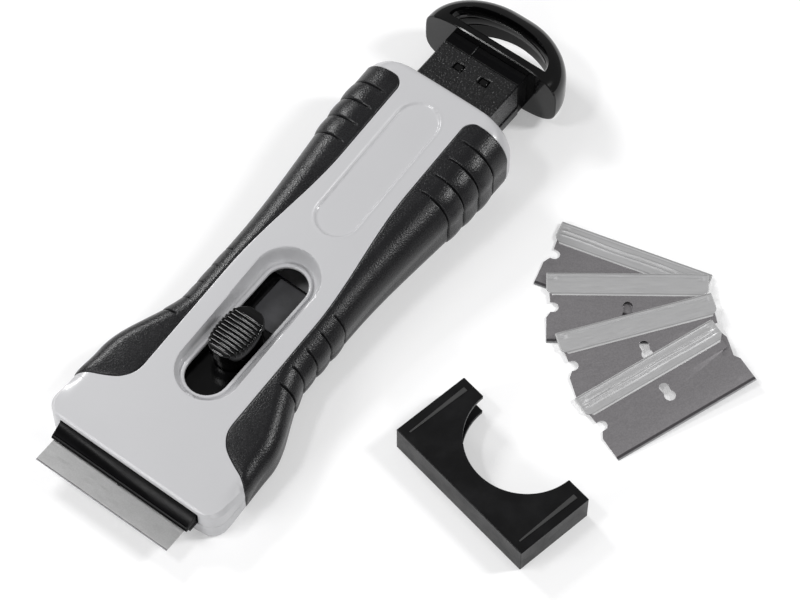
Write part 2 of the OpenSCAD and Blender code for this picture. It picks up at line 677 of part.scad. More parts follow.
// A steel strip under the button: it lifts the button, and its two bumps catch in the rails
spring_t = 0.3;
base_t = 1;
base_z = cover_z - base_t - seat_gap;
module lock_spring() color(steel_colour) translate([0, mid_y, 0]) {
    bump_x = (rail_x0 + rail_x1)/2;
    bump_z = rail_z + catch_depth - 0.15 - bump_r;
    arm_z = bump_z - 0.3;
    top = base_z - seat_gap;
    translate([0, arm_w/2, 0]) rotate([90, 0, 0]) linear_extrude(arm_w)
        polygon([[-bump_x - 0.8, arm_z + spring_t], [-bump_x + 1, arm_z + spring_t], [-bump_x + 1.4, top - 0.4],
            [-4, top - spring_t], [0, top], [4, top - spring_t], [bump_x - 1.4, top - 0.4],
            [bump_x - 1, arm_z + spring_t], [bump_x + 0.8, arm_z + spring_t], [bump_x + 0.8, arm_z],
            [bump_x - 0.7, arm_z], [bump_x - 1.1, top - 0.4 - spring_t], [4, top - 2*spring_t],
            [0, top - spring_t], [-4, top - 2*spring_t], [1.1 - bump_x, top - 0.4 - spring_t],
            [0.7 - bump_x, arm_z], [-bump_x - 0.8, arm_z]]);
    for (s = [-1, 1]) translate([s*bump_x - 0.6, 0, bump_z]) rotate([0, 90, 0]) cylinder(h = 1.2, r = bump_r);
}

// The thumb button: a ribbed oval cap on a neck, with a base held under the slide cover
module oval(w, l) scale([w/l, 1]) circle(l/2);
module slider_button() color(black_colour) translate([0, mid_y, 0]) {
    cap_z = button_top - button_cap_h;
    rib_step = button_l/(button_ribs + 1);
    difference() {
        translate([0, 0, cap_z]) linear_extrude(button_cap_h) intersection() {
            round_box([-button_w/2, -button_l/2], [button_w/2, button_l/2], button_w/2 - 0.1);
            square([button_w, button_l], center = true);
        }
        for (i = [0:button_ribs]) translate([-button_w, -button_l/2 + i*rib_step + rib_step*0.2, button_top - 0.6])
            cube([2*button_w, rib_step*0.5, 2]);
    }
    translate([0, -neck_l/2, base_z + base_t - eps]) linear_extrude(cap_z - base_z - base_t + 2*eps)
        stadium(neck_half, 0, neck_l);
    translate([-neck_half - 1, -neck_l/2 - 1, base_z]) cube([2*neck_half + 2, neck_l + 2, base_t]);
}

// The magazine drawer: a cover with two windows over a shallow tray
plate_y = rear + drawer_open;
mag_y0 = plate_y - mag_len;
mag_y1 = plate_y - 3.6;
mag_wall = 1.1;
window_y = mag_y1 - 4.2;
mag_slope = 16;
mag_drop = 2.2;
module magazine_cover() color(black_colour) difference() {
    across(mag_w) polygon([[mag_y0, mag_seam], [mag_y1, mag_seam], [mag_y1, mag_top],
        [mag_y0 + mag_slope, mag_top], [mag_y0, mag_top - mag_drop]]);
    across(mag_w - 2*mag_wall) polygon([[mag_y0 + mag_wall, mag_seam - 1], [mag_y1 + 1, mag_seam - 1],
        [mag_y1 + 1, mag_top - mag_wall], [mag_y0 + mag_slope, mag_top - mag_wall],
        [mag_y0 + mag_wall, mag_top - mag_wall - mag_drop]]);
    for (s = [-1, 1]) translate([s*window_gap/2 - window_w/2, window_y - window_l/2, mag_top - mag_wall - 1])
        cube([window_w, window_l, mag_wall + 2]);
}
tray_half = mag_w/2 + tray_step;
thumb_w = 12;
module magazine_tray() color(black_colour) difference() {
    translate([-tray_half, mag_y0, mag_bottom]) cube([2*tray_half, mag_y1 - mag_y0, mag_seam - mag_bottom]);
    translate([-mag_w/2 + mag_wall, mag_y0 + mag_wall, mag_bottom + 1.2])
        cube([mag_w - 2*mag_wall, mag_len, mag_seam]);
    translate([0, mag_y0 + 6, mag_bottom - 1]) linear_extrude(4)
        round_box([-thumb_w/2, 0], [thumb_w/2, mag_y1 - mag_y0 - 12], 3);
}

// The end plate and hanging loop: a shallow dome with a D-shaped hole, and a tongue with two hooks
plate_mid = plate_lift + plate_h/2;
dome_steps = [0, 0.06, 0.2, 0.35, 0.5, 0.65, 0.78, 0.88, 0.95, 0.985, 0.998];
function bulge(t) = sqrt(1 - t*t);
function dome_section(t, y) = let (hw = plate_w/2*bulge(t), hh = plate_h/2*sqrt(bulge(t)))
    [for (a = [0:11.25:359]) [hw*sign(cos(a))*sqrt(abs(cos(a))), y, plate_mid + hh*sign(sin(a))*sqrt(abs(sin(a)))]];
module hole_plan(steps) {
    y0 = plate_y + hole_front;
    half = hole_half + steps*hole_step;
    deep = hole_depth + steps*hole_ledge;
    polygon([for (a = [180:-10:0]) [half*cos(a), y0 + deep*sin(a)]]);
}
module hanging_loop() color(black_colour) {
    tongue_t = 1.1;
    hook_y = window_y;
    tongue_z = mag_top - mag_wall - tongue_t - 0.05;
    difference() {
        loft(concat([dome_section(0, plate_y)],
            [for (t = dome_steps) dome_section(t, plate_y + plate_t + (loop_len - plate_t)*t)]));
        translate([0, 0, -1]) linear_extrude(rear_h + 4) hole_plan(0);
        translate([0, 0, -1]) linear_extrude(1 + plate_mid + plate_h/4) hole_plan(1);
        translate([0, 0, -1]) linear_extrude(1 + plate_mid) hole_plan(2);
    }
    translate([-mag_w/2, mag_y1, mag_bottom]) cube([mag_w, plate_y - mag_y1 + eps, mag_top - 0.4 - mag_bottom]);
    translate([-mag_w/2 + mag_wall + 0.2, hook_y - 3, tongue_z]) cube([mag_w - 2*mag_wall - 0.4, mag_y1 - hook_y + 3 + eps, tongue_t]);
    for (s = [-1, 1]) translate([s*window_gap/2 - window_w/2 + 0.3, 0, 0]) rotate([90, 0, 90]) linear_extrude(window_w - 0.6)
        polygon([[hook_y - window_l/2 + 0.2, tongue_z + tongue_t - eps], [hook_y + window_l/2 - 0.2, tongue_z + tongue_t - eps],
            [hook_y + window_l/2 - 0.2, mag_top - 0.3], [hook_y, mag_top - 0.3]]);
}

// The blade guard: a flat box, open on one long side, with a half moon through its top and bottom
guard_place = [65.8, -9.5, 0];
guard_turn = -11.4;
module blade_guard() color(black_colour) translate(guard_place) rotate(guard_turn) difference() {
    union() {
        translate([-guard_l/2, -guard_w/2, 0]) cube([guard_l, guard_w, guard_h - guard_rib_h]);
        for (s = [-1, 1]) translate([s*(guard_l/2 - 2.6) - guard_rib_w/2, -guard_rib_l/2, guard_h - guard_rib_h - eps])
            cube([guard_rib_w, guard_rib_l, guard_rib_h + eps]);
    }
    translate([-guard_l/2 + guard_wall, -guard_w/2 + guard_wall, guard_skin])
        cube([guard_l - 2*guard_wall, guard_w, guard_h - guard_rib_h - 2*guard_skin]);
    translate([0, guard_w/2, -1]) cylinder(h = guard_h + 2, r = moon_r, $fn = 96);
}

// The spare blades lie in a fan, each one resting on the ones before it.
// Each row holds the middle's X and Y and the turn, then the height of the middle
// and the two small tilts, all three for each millimetre of the back's thickness.
spares = [
    [58.8, 53.6, 14.1, 0.286, 1.73, 0],
    [64.5, 47.3, 35.8, 0.856, 2.84, -1.13],
    [74.1, 40.7, 52.7, 1.243, 3.18, -2.11],
    [84.5, 34.2, 68.9, 1.332, 2.07, -2.91]];
module spare(i) {
    s = spares[i - 1];
    translate([s[0], s[1], s[3]*spine_t]) rotate(s[2]) rotate([s[4]*spine_t, s[5]*spine_t, 0])
        translate([0, -blade_w/2, 0]) children();
}
module spare_blade(i) spare(i) blade();
module spare_blade_back(i) spare(i) blade_back();

top_shell();
bottom_shell();
left_grip();
right_grip();
shell_screws();
blade_carrier();
blade_clamp();
clamp_pin();
scraper_blade();
scraper_blade_back();
slide_cover();
cover_screws();
lock_spring();
slider_button();
magazine_cover();
magazine_tray();
hanging_loop();
blade_guard();
spare_blade(1);  // spare_blade_1
spare_blade_back(1);  // spare_blade_back_1
spare_blade(2);  // spare_blade_2
spare_blade_back(2);  // spare_blade_back_2
spare_blade(3);  // spare_blade_3
spare_blade_back(3);  // spare_blade_back_3
spare_blade(4);  // spare_blade_4
spare_blade_back(4);  // spare_blade_back_4
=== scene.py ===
import json
import math

import bmesh
import bpy
import numpy as np
from mathutils import Matrix, Vector

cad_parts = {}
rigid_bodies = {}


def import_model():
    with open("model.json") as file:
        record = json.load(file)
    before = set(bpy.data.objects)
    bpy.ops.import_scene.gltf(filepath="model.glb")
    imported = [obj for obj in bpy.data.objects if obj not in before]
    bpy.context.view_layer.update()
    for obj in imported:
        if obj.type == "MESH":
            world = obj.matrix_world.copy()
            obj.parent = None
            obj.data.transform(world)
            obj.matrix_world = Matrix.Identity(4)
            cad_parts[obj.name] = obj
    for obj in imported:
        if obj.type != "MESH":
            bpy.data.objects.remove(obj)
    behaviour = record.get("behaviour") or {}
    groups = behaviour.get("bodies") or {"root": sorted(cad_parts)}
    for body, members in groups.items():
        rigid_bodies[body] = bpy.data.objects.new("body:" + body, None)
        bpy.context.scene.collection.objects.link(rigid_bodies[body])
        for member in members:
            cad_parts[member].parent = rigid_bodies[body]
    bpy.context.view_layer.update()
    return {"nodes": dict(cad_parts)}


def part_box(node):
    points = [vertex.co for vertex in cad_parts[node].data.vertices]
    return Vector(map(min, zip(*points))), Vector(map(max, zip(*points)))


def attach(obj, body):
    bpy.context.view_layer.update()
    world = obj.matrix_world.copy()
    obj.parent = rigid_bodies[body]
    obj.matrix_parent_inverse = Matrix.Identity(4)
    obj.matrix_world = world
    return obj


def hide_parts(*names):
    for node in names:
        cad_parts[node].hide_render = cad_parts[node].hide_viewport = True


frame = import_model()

mm = 0.001
far = 70  # beyond every side of the handle
scene = bpy.context.scene
scene.view_settings.view_transform = "Standard"


def linked(name, data):  # a new object, put in the scene
    obj = bpy.data.objects.new(name, data)
    scene.collection.objects.link(obj)
    return obj


def drop(obj):
    bpy.data.objects.remove(obj, do_unlink=True)


# camera: standing in front and to the right, looking down at the scraper

camera = {
    "eye": (252.44, -289.91, 637.73), "target": (19.30, 16.68, 0.0), "lens": 139.6, "sensor": 36.0,
    "clip": (0.01, 10.0)}


def makeCamera():
    data = bpy.data.cameras.new("camera")
    data.sensor_width = camera["sensor"]
    data.sensor_fit = "HORIZONTAL"
    data.lens = camera["lens"]
    data.clip_start, data.clip_end = camera["clip"]
    obj = linked("camera", data)
    eye, target = Vector(camera["eye"]) * mm, Vector(camera["target"]) * mm
    obj.location = eye
    obj.rotation_euler = (target - eye).to_track_quat("-Z", "Y").to_euler()
    scene.camera = obj


makeCamera()
print("camera placed")


# node maths: a socket that adds, multiplies and compares by making the nodes

class Sock:
    def __init__(self, tree, out):
        self.tree, self.out = tree, out

    def math(self, kind, *others, clamp=False):
        inputs = dict(enumerate((self,) + others))
        return addNode(self.tree, "ShaderNodeMath", {"operation": kind, "use_clamp": clamp}, inputs)

    def __add__(self, o): return self.math("ADD", o)
    def __sub__(self, o): return self.math("SUBTRACT", o)
    def __rsub__(self, o): return (self * -1.0) + o
    def __mul__(self, o): return self.math("MULTIPLY", o)
    def __truediv__(self, o): return self.math("DIVIDE", o)
    def __abs__(self): return self.math("ABSOLUTE")
    def __pow__(self, o): return self.math("POWER", o)

    def clamped(self): return self.math("ADD", 0.0, clamp=True)

    def ramp(self, low, high, a=0.0, b=1.0):  # smooth step from low to high, scaled to a..b
        return addNode(self.tree, "ShaderNodeMapRange", {"interpolation_type": "SMOOTHSTEP"},
                       {"Value": self, "From Min": low, "From Max": high, "To Min": a, "To Max": b})


def plug(tree, socket, value):
    if isinstance(value, Sock):
        tree.links.new(value.out, socket)
    else:
        socket.default_value = value


def addNode(tree, kind, settings=None, inputs=None, out=0):
    node = tree.nodes.new(kind)
    for key, value in (settings or {}).items():
        setattr(node, key, value)
    for key, value in (inputs or {}).items():
        plug(tree, node.inputs[key], value)
    return Sock(tree, node.outputs[out])


class Mat:
    def __init__(self, name):
        self.mat = bpy.data.materials.new(name)
        self.mat.use_nodes = True
        self.tree = self.mat.node_tree
        self.shader = self.tree.nodes["Principled BSDF"]
        coords = self.tree.nodes.new("ShaderNodeTexCoord")
        self.object = Sock(self.tree, coords.outputs["Object"])

    def node(self, kind, settings=None, inputs=None, out=0):
        return addNode(self.tree, "ShaderNode" + kind, settings, inputs, out)

    def placed(self, move, turn):  # coordinates of a piece that lies moved and turned
        return self.node("Mapping", {"vector_type": "TEXTURE"},
                         {"Vector": self.object, "Location": [v * mm for v in move],
                          "Rotation": [math.radians(v) for v in turn]})

    def stretched(self, vector, scale):
        return self.node("VectorMath", {"operation": "MULTIPLY"}, {0: vector, 1: scale})

    def noise(self, vector, sizeMm, detail=3.0, rough=0.55):
        return self.node("TexNoise", {"noise_dimensions": "3D"},
                         {"Vector": vector, "Scale": 1000.0 / sizeMm, "Detail": detail, "Roughness": rough})

    def cells(self, vector, sizeMm, feature="F1"):
        return self.node("TexVoronoi", {"feature": feature}, {"Vector": vector, "Scale": 1000.0 / sizeMm},
                         "Distance")

    def part(self, vector, axis):
        return self.node("SeparateXYZ", None, {0: vector}, "XYZ".index(axis))

    def mixColour(self, factor, a, b):
        return self.node("Mix", {"data_type": "RGBA"}, {0: factor, 6: a, 7: b}, 2)

    def set(self, name, value):
        plug(self.tree, self.shader.inputs[name], value)

    def bump(self, height, depthMm, strength=1.0):
        self.set("Normal", self.node("Bump", None, {"Height": height, "Distance": depthMm * mm,
                                                    "Strength": strength}))


def rgb(r, g=None, b=None):
    return (r, r if g is None else g, r if b is None else b, 1.0)


def shellPlastic():
    m = Mat("shellPlastic")
    fine = m.noise(m.object, 0.22, 2.0)
    broad = m.noise(m.object, 14.0, 4.0, 0.6)
    scuff = m.noise(m.stretched(m.object, (1.0, 0.25, 1.0)), 2.2, 6.0, 0.7).ramp(0.62, 0.8)
    m.set("Base Color", m.mixColour((broad * 0.55 + scuff * 0.35).clamped(),
                                    rgb(0.505, 0.505, 0.517), rgb(0.465, 0.465, 0.477)))
    m.set("Roughness", fine.ramp(0.3, 0.7, 0.27, 0.35) + scuff * 0.08 + broad * 0.05)
    m.set("IOR", 1.48)
    m.set("Coat Weight", 0.25)
    m.set("Coat Roughness", 0.12)
    m.bump(fine + broad * 0.5, 0.012, 0.7)
    return m.mat


def gripRubber():
    m = Mat("gripRubber")
    grain = m.noise(m.object, 0.28, 3.0, 0.6)
    pores = m.cells(m.object, 0.42)
    patch = m.noise(m.object, 7.0, 4.0, 0.6)
    dust = m.noise(m.object, 0.16, 1.0).ramp(0.62, 0.78)
    m.set("Base Color", m.mixColour((patch * 0.5 + dust * 0.5).clamped(),
                                    rgb(0.006, 0.006, 0.0068), rgb(0.017, 0.017, 0.0185)))
    m.set("Roughness", grain.ramp(0.3, 0.7, 0.2, 0.33) + patch * 0.05)
    m.set("Specular IOR Level", 0.33)
    m.bump(grain * 0.7 + pores * 0.5, 0.085, 0.8)
    return m.mat


def blackPlastic(name, rough, grainMm, grainDepth, tone, shine=0.5, paleAbove=None):
    m = Mat(name)
    grain = m.noise(m.object, grainMm, 3.0, 0.6)
    haze = m.noise(m.object, 6.0, 5.0, 0.65)
    marks = m.noise(m.stretched(m.object, (0.3, 1.0, 1.0)), 1.1, 5.0, 0.7).ramp(0.66, 0.8)
    pale = tone * 1.5
    colour = m.mixColour((haze * 0.6 + marks * 0.3).clamped(), rgb(tone * 0.8), rgb(pale, pale, tone * 1.8))
    if paleAbove:  # raised parts are painted paler
        height = m.part(m.object, "Z") * 1000.0
        colour = m.mixColour(height.ramp(paleAbove, paleAbove + 0.1), colour, rgb(0.05))
    m.set("Base Color", colour)
    m.set("Roughness", haze.ramp(0.3, 0.75, rough * 0.8, rough * 1.25) + marks * 0.1)
    m.set("Specular IOR Level", shine)
    m.bump(grain + marks * 0.2, grainDepth, 0.8)
    return m.mat


def grainedBlack():
    m = Mat("magazineGrain")
    cell = m.cells(m.object, 0.45, "SMOOTH_F1")
    grain = m.noise(m.object, 0.5, 4.0, 0.6)
    patch = m.noise(m.object, 5.0, 3.0)
    m.set("Base Color", m.mixColour((patch * 0.6 + cell * 0.6).clamped(),
                                    rgb(0.004), rgb(0.011, 0.011, 0.012)))
    m.set("Roughness", grain.ramp(0.35, 0.7, 0.24, 0.4))
    m.bump(cell * 0.8 + grain * 0.5, 0.17, 1.0)
    return m.mat


def bladeSteel(name, move, turn, paintedLighter):  # X runs along the blade, Y from its edge to its back
    m = Mat(name)
    own = m.placed(move, turn)
    lines = m.noise(m.stretched(own, (0.03, 1.0, 1.0)), 0.12, 3.0, 0.7)
    stain = m.noise(own, 5.0, 5.0, 0.65)
    spots = m.noise(own, 0.8, 3.0).ramp(0.68, 0.78)
    grain = m.noise(own, 0.34, 2.0).ramp(0.35, 0.65)
    y = m.part(own, "Y") * 1000.0
    # the ground bevel is painted dark as painted shade, wider on the spare blades; a thin line at the very
    # edge is left lighter as a painted highlight
    bevel = (y + lines * 0.12).ramp(0.5 if paintedLighter else 1.2, 0.4 if paintedLighter else 1.0)
    hone = y.ramp(0.22, 0.1) if paintedLighter else y.ramp(0.42, 0.30)
    tone = (stain * 0.4 + lines * 0.2 + spots * 0.3 + grain * 0.4).clamped()
    # the blade in the clamp is painted lighter than the spare blades: lit and shaded copies of one steel, as
    # painted light
    pale, dark = (rgb(0.53), rgb(0.43)) if paintedLighter else (rgb(0.45, 0.434, 0.447), rgb(0.30, 0.288, 0.30))
    body = m.mixColour(tone, pale, dark)
    edge = m.mixColour(hone, rgb(0.125, 0.118, 0.125), rgb(0.42, 0.42, 0.43))
    m.set("Base Color", m.mixColour(bevel, body, edge))
    m.set("Metallic", 0.85)
    m.set("Roughness", lines.ramp(0.3, 0.7, 0.26, 0.36) + stain * 0.08 - bevel * 0.04)
    m.bump(lines, 0.006, 0.6)
    return m.mat


def backMetal(name, move, turn):
    m = Mat(name)
    own = m.placed(move, turn)
    lines = m.noise(m.stretched(own, (0.02, 1.0, 1.0)), 0.18, 3.0, 0.7)
    stain = m.noise(own, 3.5, 5.0, 0.65)
    nicks = m.noise(m.stretched(own, (0.4, 1.0, 1.0)), 0.5, 4.0, 0.7).ramp(0.64, 0.75)
    off = abs(m.part(own, "Y") * 1000.0 - 15.9)
    # painted highlight: a pale line along the folded back's long edges and its ends; painted shade: a darker
    # line just inside both long edges
    rim = (off.ramp(2.82, 2.98) + (abs(m.part(own, "X")) * 1000.0).ramp(19.2, 19.35)).clamped()
    creaseShade = off.ramp(2.45, 2.6) * off.ramp(2.85, 2.72)
    plain = m.mixColour((stain * 0.6 + nicks * 0.3).clamped(),
                        rgb(0.61, 0.61, 0.615), rgb(0.49, 0.488, 0.492))
    m.set("Base Color", m.mixColour(rim * 0.8, m.mixColour(creaseShade * 0.5, plain, rgb(0.25)), rgb(0.92)))
    m.set("Metallic", 0.65)
    m.set("Roughness", lines.ramp(0.3, 0.7, 0.30, 0.42) + stain * 0.08 - rim * 0.12)
    m.bump(lines + nicks * 0.6, 0.012, 0.7)
    return m.mat


def plainMetal(name, tone, rough):
    m = Mat(name)
    fine = m.noise(m.object, 0.3, 4.0, 0.6)
    m.set("Base Color", m.mixColour(fine, rgb(tone), rgb(tone * 0.75)))
    m.set("Metallic", 1.0)
    m.set("Roughness", fine.ramp(0.3, 0.7, rough * 0.85, rough * 1.2))
    m.bump(fine, 0.006, 0.5)
    return m.mat


shellMat = shellPlastic()
gripMat = gripRubber()
glossMat = blackPlastic("blackGloss", 0.1, 0.9, 0.0035, 0.0015, 0.42)
clampMat = blackPlastic("clampBlack", 0.22, 0.35, 0.006, 0.0035, 0.04)
guardMat = blackPlastic("guardBlack", 0.34, 0.30, 0.03, 0.0045, 0.24, 8.22)
plateMat = blackPlastic("coverPlate", 0.2, 0.25, 0.006, 0.002, 0.25)
# paler tone for the plate behind the button: a painted pool of light
litPlateMat = blackPlastic("coverDeck", 0.42, 0.25, 0.012, 0.034)
magMat = grainedBlack()
zincMat = plainMetal("zincScrew", 0.52, 0.34)
springMat = plainMetal("springSteel", 0.45, 0.3)
print("materials made")


# mesh helpers, all in millimetres

def meshObject(name, verts, faces, material, smoothAngle=35.0, merge=0.0):
    mesh = bpy.data.meshes.new(name)
    mesh.from_pydata([(x * mm, y * mm, z * mm) for x, y, z in verts], [], faces)
    if merge:
        bm = bmesh.new()
        bm.from_mesh(mesh)
        bmesh.ops.remove_doubles(bm, verts=bm.verts, dist=merge * mm)
        bmesh.ops.recalc_face_normals(bm, faces=bm.faces)
        bm.to_mesh(mesh)
        bm.free()
    mesh.materials.append(material)
    shade(mesh, smoothAngle)
    return linked(name, mesh)


def skin(name, ring, material, smoothAngle=35.0):  # closed loft through rings of points, with end caps
    m, n = ring.shape[:2]
    faces = [(j * n + i, j * n + (i + 1) % n, (j + 1) * n + (i + 1) % n, (j + 1) * n + i)
             for j in range(m - 1) for i in range(n)]
    faces += [tuple(range(n - 1, -1, -1)), tuple((m - 1) * n + i for i in range(n))]
    return meshObject(name, ring.reshape(-1, 3).tolist(), faces, material, smoothAngle, merge=0.0005)


def sectionAt(y, x, z):
    return np.stack([x, np.full_like(x, y), z], 1)


def mirrored(right):  # closes half sections into whole ones
    left = right[:, ::-1].copy()
    left[..., 0] *= -1
    return np.concatenate([right, left[:, 1:-1]], 1)


def joined(name, objs):  # several meshes as one
    bm = bmesh.new()
    for obj in objs:
        bm.from_mesh(obj.data)
    mesh = bpy.data.meshes.new(name)
    bm.to_mesh(mesh)
    bm.free()
    for material in objs[0].data.materials:
        mesh.materials.append(material)
    for obj in objs:
        drop(obj)
    return linked(name, mesh)


def softened(obj, width, segments=1, angle=35.0):
    bevel = obj.modifiers.new("bevel", "BEVEL")
    bevel.width, bevel.segments, bevel.limit_method = width * mm, segments, "ANGLE"
    bevel.angle_limit = math.radians(angle)
    return freeze(obj)


def stands(obj, node, body):  # the piece that takes a CAD node's place
    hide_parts(node)
    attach(obj, body)
    print(obj.name, len(obj.data.polygons))
    return obj


def added(obj, name, body):  # a piece with no CAD node of its own
    obj.name = name
    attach(obj, body)


def paint(obj, material, angle=35.0):
    obj.data.materials.clear()
    obj.data.materials.append(material)
    shade(obj.data, angle)
    return obj


def shade(mesh, angle):
    mesh.polygons.foreach_set("use_smooth", [True] * len(mesh.polygons))
    mesh.set_sharp_from_angle(angle=math.radians(angle))
    mesh.update()


def freeze(obj):  # turns live modifiers into a plain mesh
    bpy.context.view_layer.update()
    graph = bpy.context.evaluated_depsgraph_get()
    mesh = bpy.data.meshes.new_from_object(obj.evaluated_get(graph))
    obj.modifiers.clear()
    obj.data = mesh
    return obj


def combine(obj, tool, kind):
    mod = obj.modifiers.new("cut", "BOOLEAN")
    mod.object, mod.operation, mod.solver = tool, kind, "MANIFOLD"
    freeze(obj)
    drop(tool)
    return obj


def cut(obj, tool):
    return combine(obj, tool, "DIFFERENCE")


def box(a, b):
    return prism([(a[0], a[1]), (b[0], a[1]), (b[0], b[1]), (a[0], b[1])], a[2], b[2])


def prism(points, z0, z1):  # upright prism over a plan outline, anticlockwise
    n = len(points)
    verts = [(x, y, z0) for x, y in points] + [(x, y, z1) for x, y in points]
    faces = [tuple(range(n - 1, -1, -1)), tuple(range(n, 2 * n))]
    faces += [(i, (i + 1) % n, n + (i + 1) % n, n + i) for i in range(n)]
    return meshObject("prism", verts, faces, shellMat)


def stadiumPoints(r, y0, y1, steps=32):
    a = [math.pi * i / steps for i in range(steps + 1)]
    rear = [(r * math.cos(t), y1 - r + r * math.sin(t)) for t in a]
    return rear + [(-r * math.cos(t), y0 + r - r * math.sin(t)) for t in a]


def turns(count):
    return np.linspace(0, 2 * math.pi, count, endpoint=False)


def circlePoints(r, y, count):
    return [(r * math.cos(t), y + r * math.sin(t)) for t in turns(count)]


def turned(degrees, axis):
    return Matrix.Rotation(math.radians(degrees), 4, axis)


def tilted(obj, origin, degrees):  # turns a tool about an X axis through origin
    obj.data.transform(Matrix.Translation(Vector(origin) * mm) @ turned(degrees, "X"))
    return obj


def roundedCopy(node, width, material, slotName, body):
    mesh = frame["nodes"][node].data.copy()
    bm = bmesh.new()
    bm.from_mesh(mesh)
    bmesh.ops.remove_doubles(bm, verts=bm.verts, dist=2e-6)
    bmesh.ops.dissolve_limit(bm, angle_limit=math.radians(1.0), verts=bm.verts, edges=bm.edges)
    bm.to_mesh(mesh)
    bm.free()
    obj = softened(paint(linked(node + "Looks", mesh), material, 30.0), width)
    return stands(obj, node, body)


# the handle's form: half width, height and edge rounding at each place along it

handle = {
    "front": -61.0, "rear": 61.0, "headW": 51.0, "waistW": 35.8, "rearW": 42.6, "frontH": 10.0,
    "rearH": 22.0, "headLen": 20.0, "shoulder": 24.5, "frontEdge": 1.0, "edgeShare": 0.36, "crown": 0.4,
    "headCorner": 4.6, "rearCorner": 4.4, "lipRound": 0.8, "rearRound": 1.6, "parting": (5.0, 9.5),
    "gripT": 1.5, "wall": 1.4, "beltEdge": 2.6, "stripWaist": 13.2, "stripRear": 9.7, "gripFront": 14.8,
    "gripRear": 4.2, "curveR": 8.3, "cornerR": 3.2}
slot = {
    "r": 5.45, "y0": -36.4, "len": 39.2, "band": 2.5, "lip": 0.95, "lipH": 0.45, "lipSoft": 0.14,
    "round": 0.34, "z": 10.775, "slope": 1.7, "ahead": 0.95, "behind": 0.2, "edge": 0.5, "relief": 1.0}
label = {
    "r": 5.46, "y0": 12.4, "len": 41.8, "depth": 0.35, "soft": 0.25, "rim": 0.1, "rimAt": 0.45,
    "rimW": 0.26}
grooves = {
    "waistY": -24.55, "waistStep": 5.35, "waistCount": 5, "rearY": 34.45, "rearStep": 5.5, "rearCount": 4}
grooveYs = [grooves[end + "Y"] + grooves[end + "Step"] * i for end in ("waist", "rear")
            for i in range(grooves[end + "Count"])]
h = handle
bodyLen = h["rear"] - h["front"]
rise = (h["rearH"] - h["frontH"]) / bodyLen


def smooth(t):
    t = np.clip(t, 0.0, 1.0)
    return t * t * (3 - 2 * t)


def cornerCut(d, r):
    d = np.clip(d, 0.0, r)
    return r - np.sqrt(np.maximum(r * r - (r - d) ** 2, 0.0))


def halfW(y):
    along, flare = y - h["front"], h["headLen"] + h["shoulder"] + 18.0
    return (h["headW"] / 2 + (h["waistW"] - h["headW"]) / 2 * smooth((along - h["headLen"]) / h["shoulder"])
            + (h["rearW"] - h["waistW"]) / 2 * smooth((along - flare) / (bodyLen - flare - 7.0)))


def planHalf(y):
    return halfW(y) - cornerCut(y - h["front"], h["headCorner"]) - cornerCut(h["rear"] - y, h["rearCorner"])


def topZ(y):
    return (h["frontH"] + rise * (y - h["front"]) - cornerCut(y - h["front"], h["lipRound"])
            - cornerCut(h["rear"] - y, h["rearRound"]))


def underZ(y):
    return cornerCut(y - h["front"], h["lipRound"]) + cornerCut(h["rear"] - y, h["rearRound"])


def edgeRound(y):
    blend = smooth((y - h["front"]) / h["headLen"])
    return h["frontEdge"] * (1 - blend) + h["edgeShare"] * (h["frontH"] + rise * (y - h["front"])) * blend


def sectionOf(y, inset=0.0):  # width, top, bottom, rounding and crown of one cross section
    w = planHalf(y) - inset
    lift = h["crown"] * smooth((y - h["front"]) / 8.0)
    zt, zb = topZ(y) - lift - inset, underZ(y) + inset
    r = max(min(edgeRound(y) - inset, (zt - zb) * 0.48), 0.3)
    return w, zt, zb, r, lift


def spans(y, inset=0.0):  # lengths of the flat half, the rounding and the side of one cross section
    w, zt, zb, r, lift = sectionOf(y, inset)
    return w - r, r * math.pi / 2, (zt - r) - (zb + r)


def outlineAt(y, s, inset=0.0):  # point and outward normal at arc length s from the top centre, right side
    w, zt, zb, r, lift = sectionOf(y, inset)
    flat, arc, side = spans(y, inset)
    turn = (np.clip(s - flat, 0, arc) + np.clip(s - flat - arc - side, 0, arc)) / r  # of the normal
    nx, nz = np.sin(turn), np.cos(turn)
    x = np.minimum(s, flat) + r * nx - np.maximum(s - flat - 2 * arc - side, 0)
    z = zt - r + r * nz - np.clip(s - flat - arc, 0, side)
    return x, z + lift * (1 - (x / w) ** 2) * np.maximum(nz, 0), nx, nz


def girth(y, inset=0.0):
    flat, arc, side = spans(y, inset)
    return 2 * flat + 2 * arc + side


def arcTo(y, x, top=True):  # arc length at which the outline passes x
    w, zt, zb, r, lift = sectionOf(y)
    x = min(x, w - 1e-6)
    t = math.asin(min(max(x - w + r, 0.0) / r, 1.0))
    s = min(x, w - r) + r * t
    return s if top else girth(y) - s


gripY0 = h["front"] + h["gripFront"]  # the curve starts here, and the tip lies ahead of it
gripY1 = h["rear"] - h["gripRear"]
waistY = gripY0 + h["curveR"]
tipY = gripY0 - 3.8

# where the grip's front edge runs over the top: place along the handle, half distance between the grips
gripCurve = np.array([(-50.0, 25.4), (-49.55, 24.9), (-48.1, 22.7), (-46.8, 19.7), (-45.0, 16.4),
                      (-43.3, 14.7), (-41.5, 13.65), (-39.6, 13.25), (-37.9, 13.2)])


def curveAt(y):  # smooth curve through the points above
    ks, vs = gripCurve[:, 0], gripCurve[:, 1]
    slope = np.gradient(vs, ks)
    slope[-1] = 0.0
    k = int(np.clip(np.searchsorted(ks, y) - 1, 0, len(ks) - 2))
    w = ks[k + 1] - ks[k]
    t = (y - ks[k]) / w
    return ((2 * t ** 3 - 3 * t * t + 1) * vs[k] + (t ** 3 - 2 * t * t + t) * w * slope[k]
            + (3 * t * t - 2 * t ** 3) * vs[k + 1] + (t ** 3 - t * t) * w * slope[k + 1])


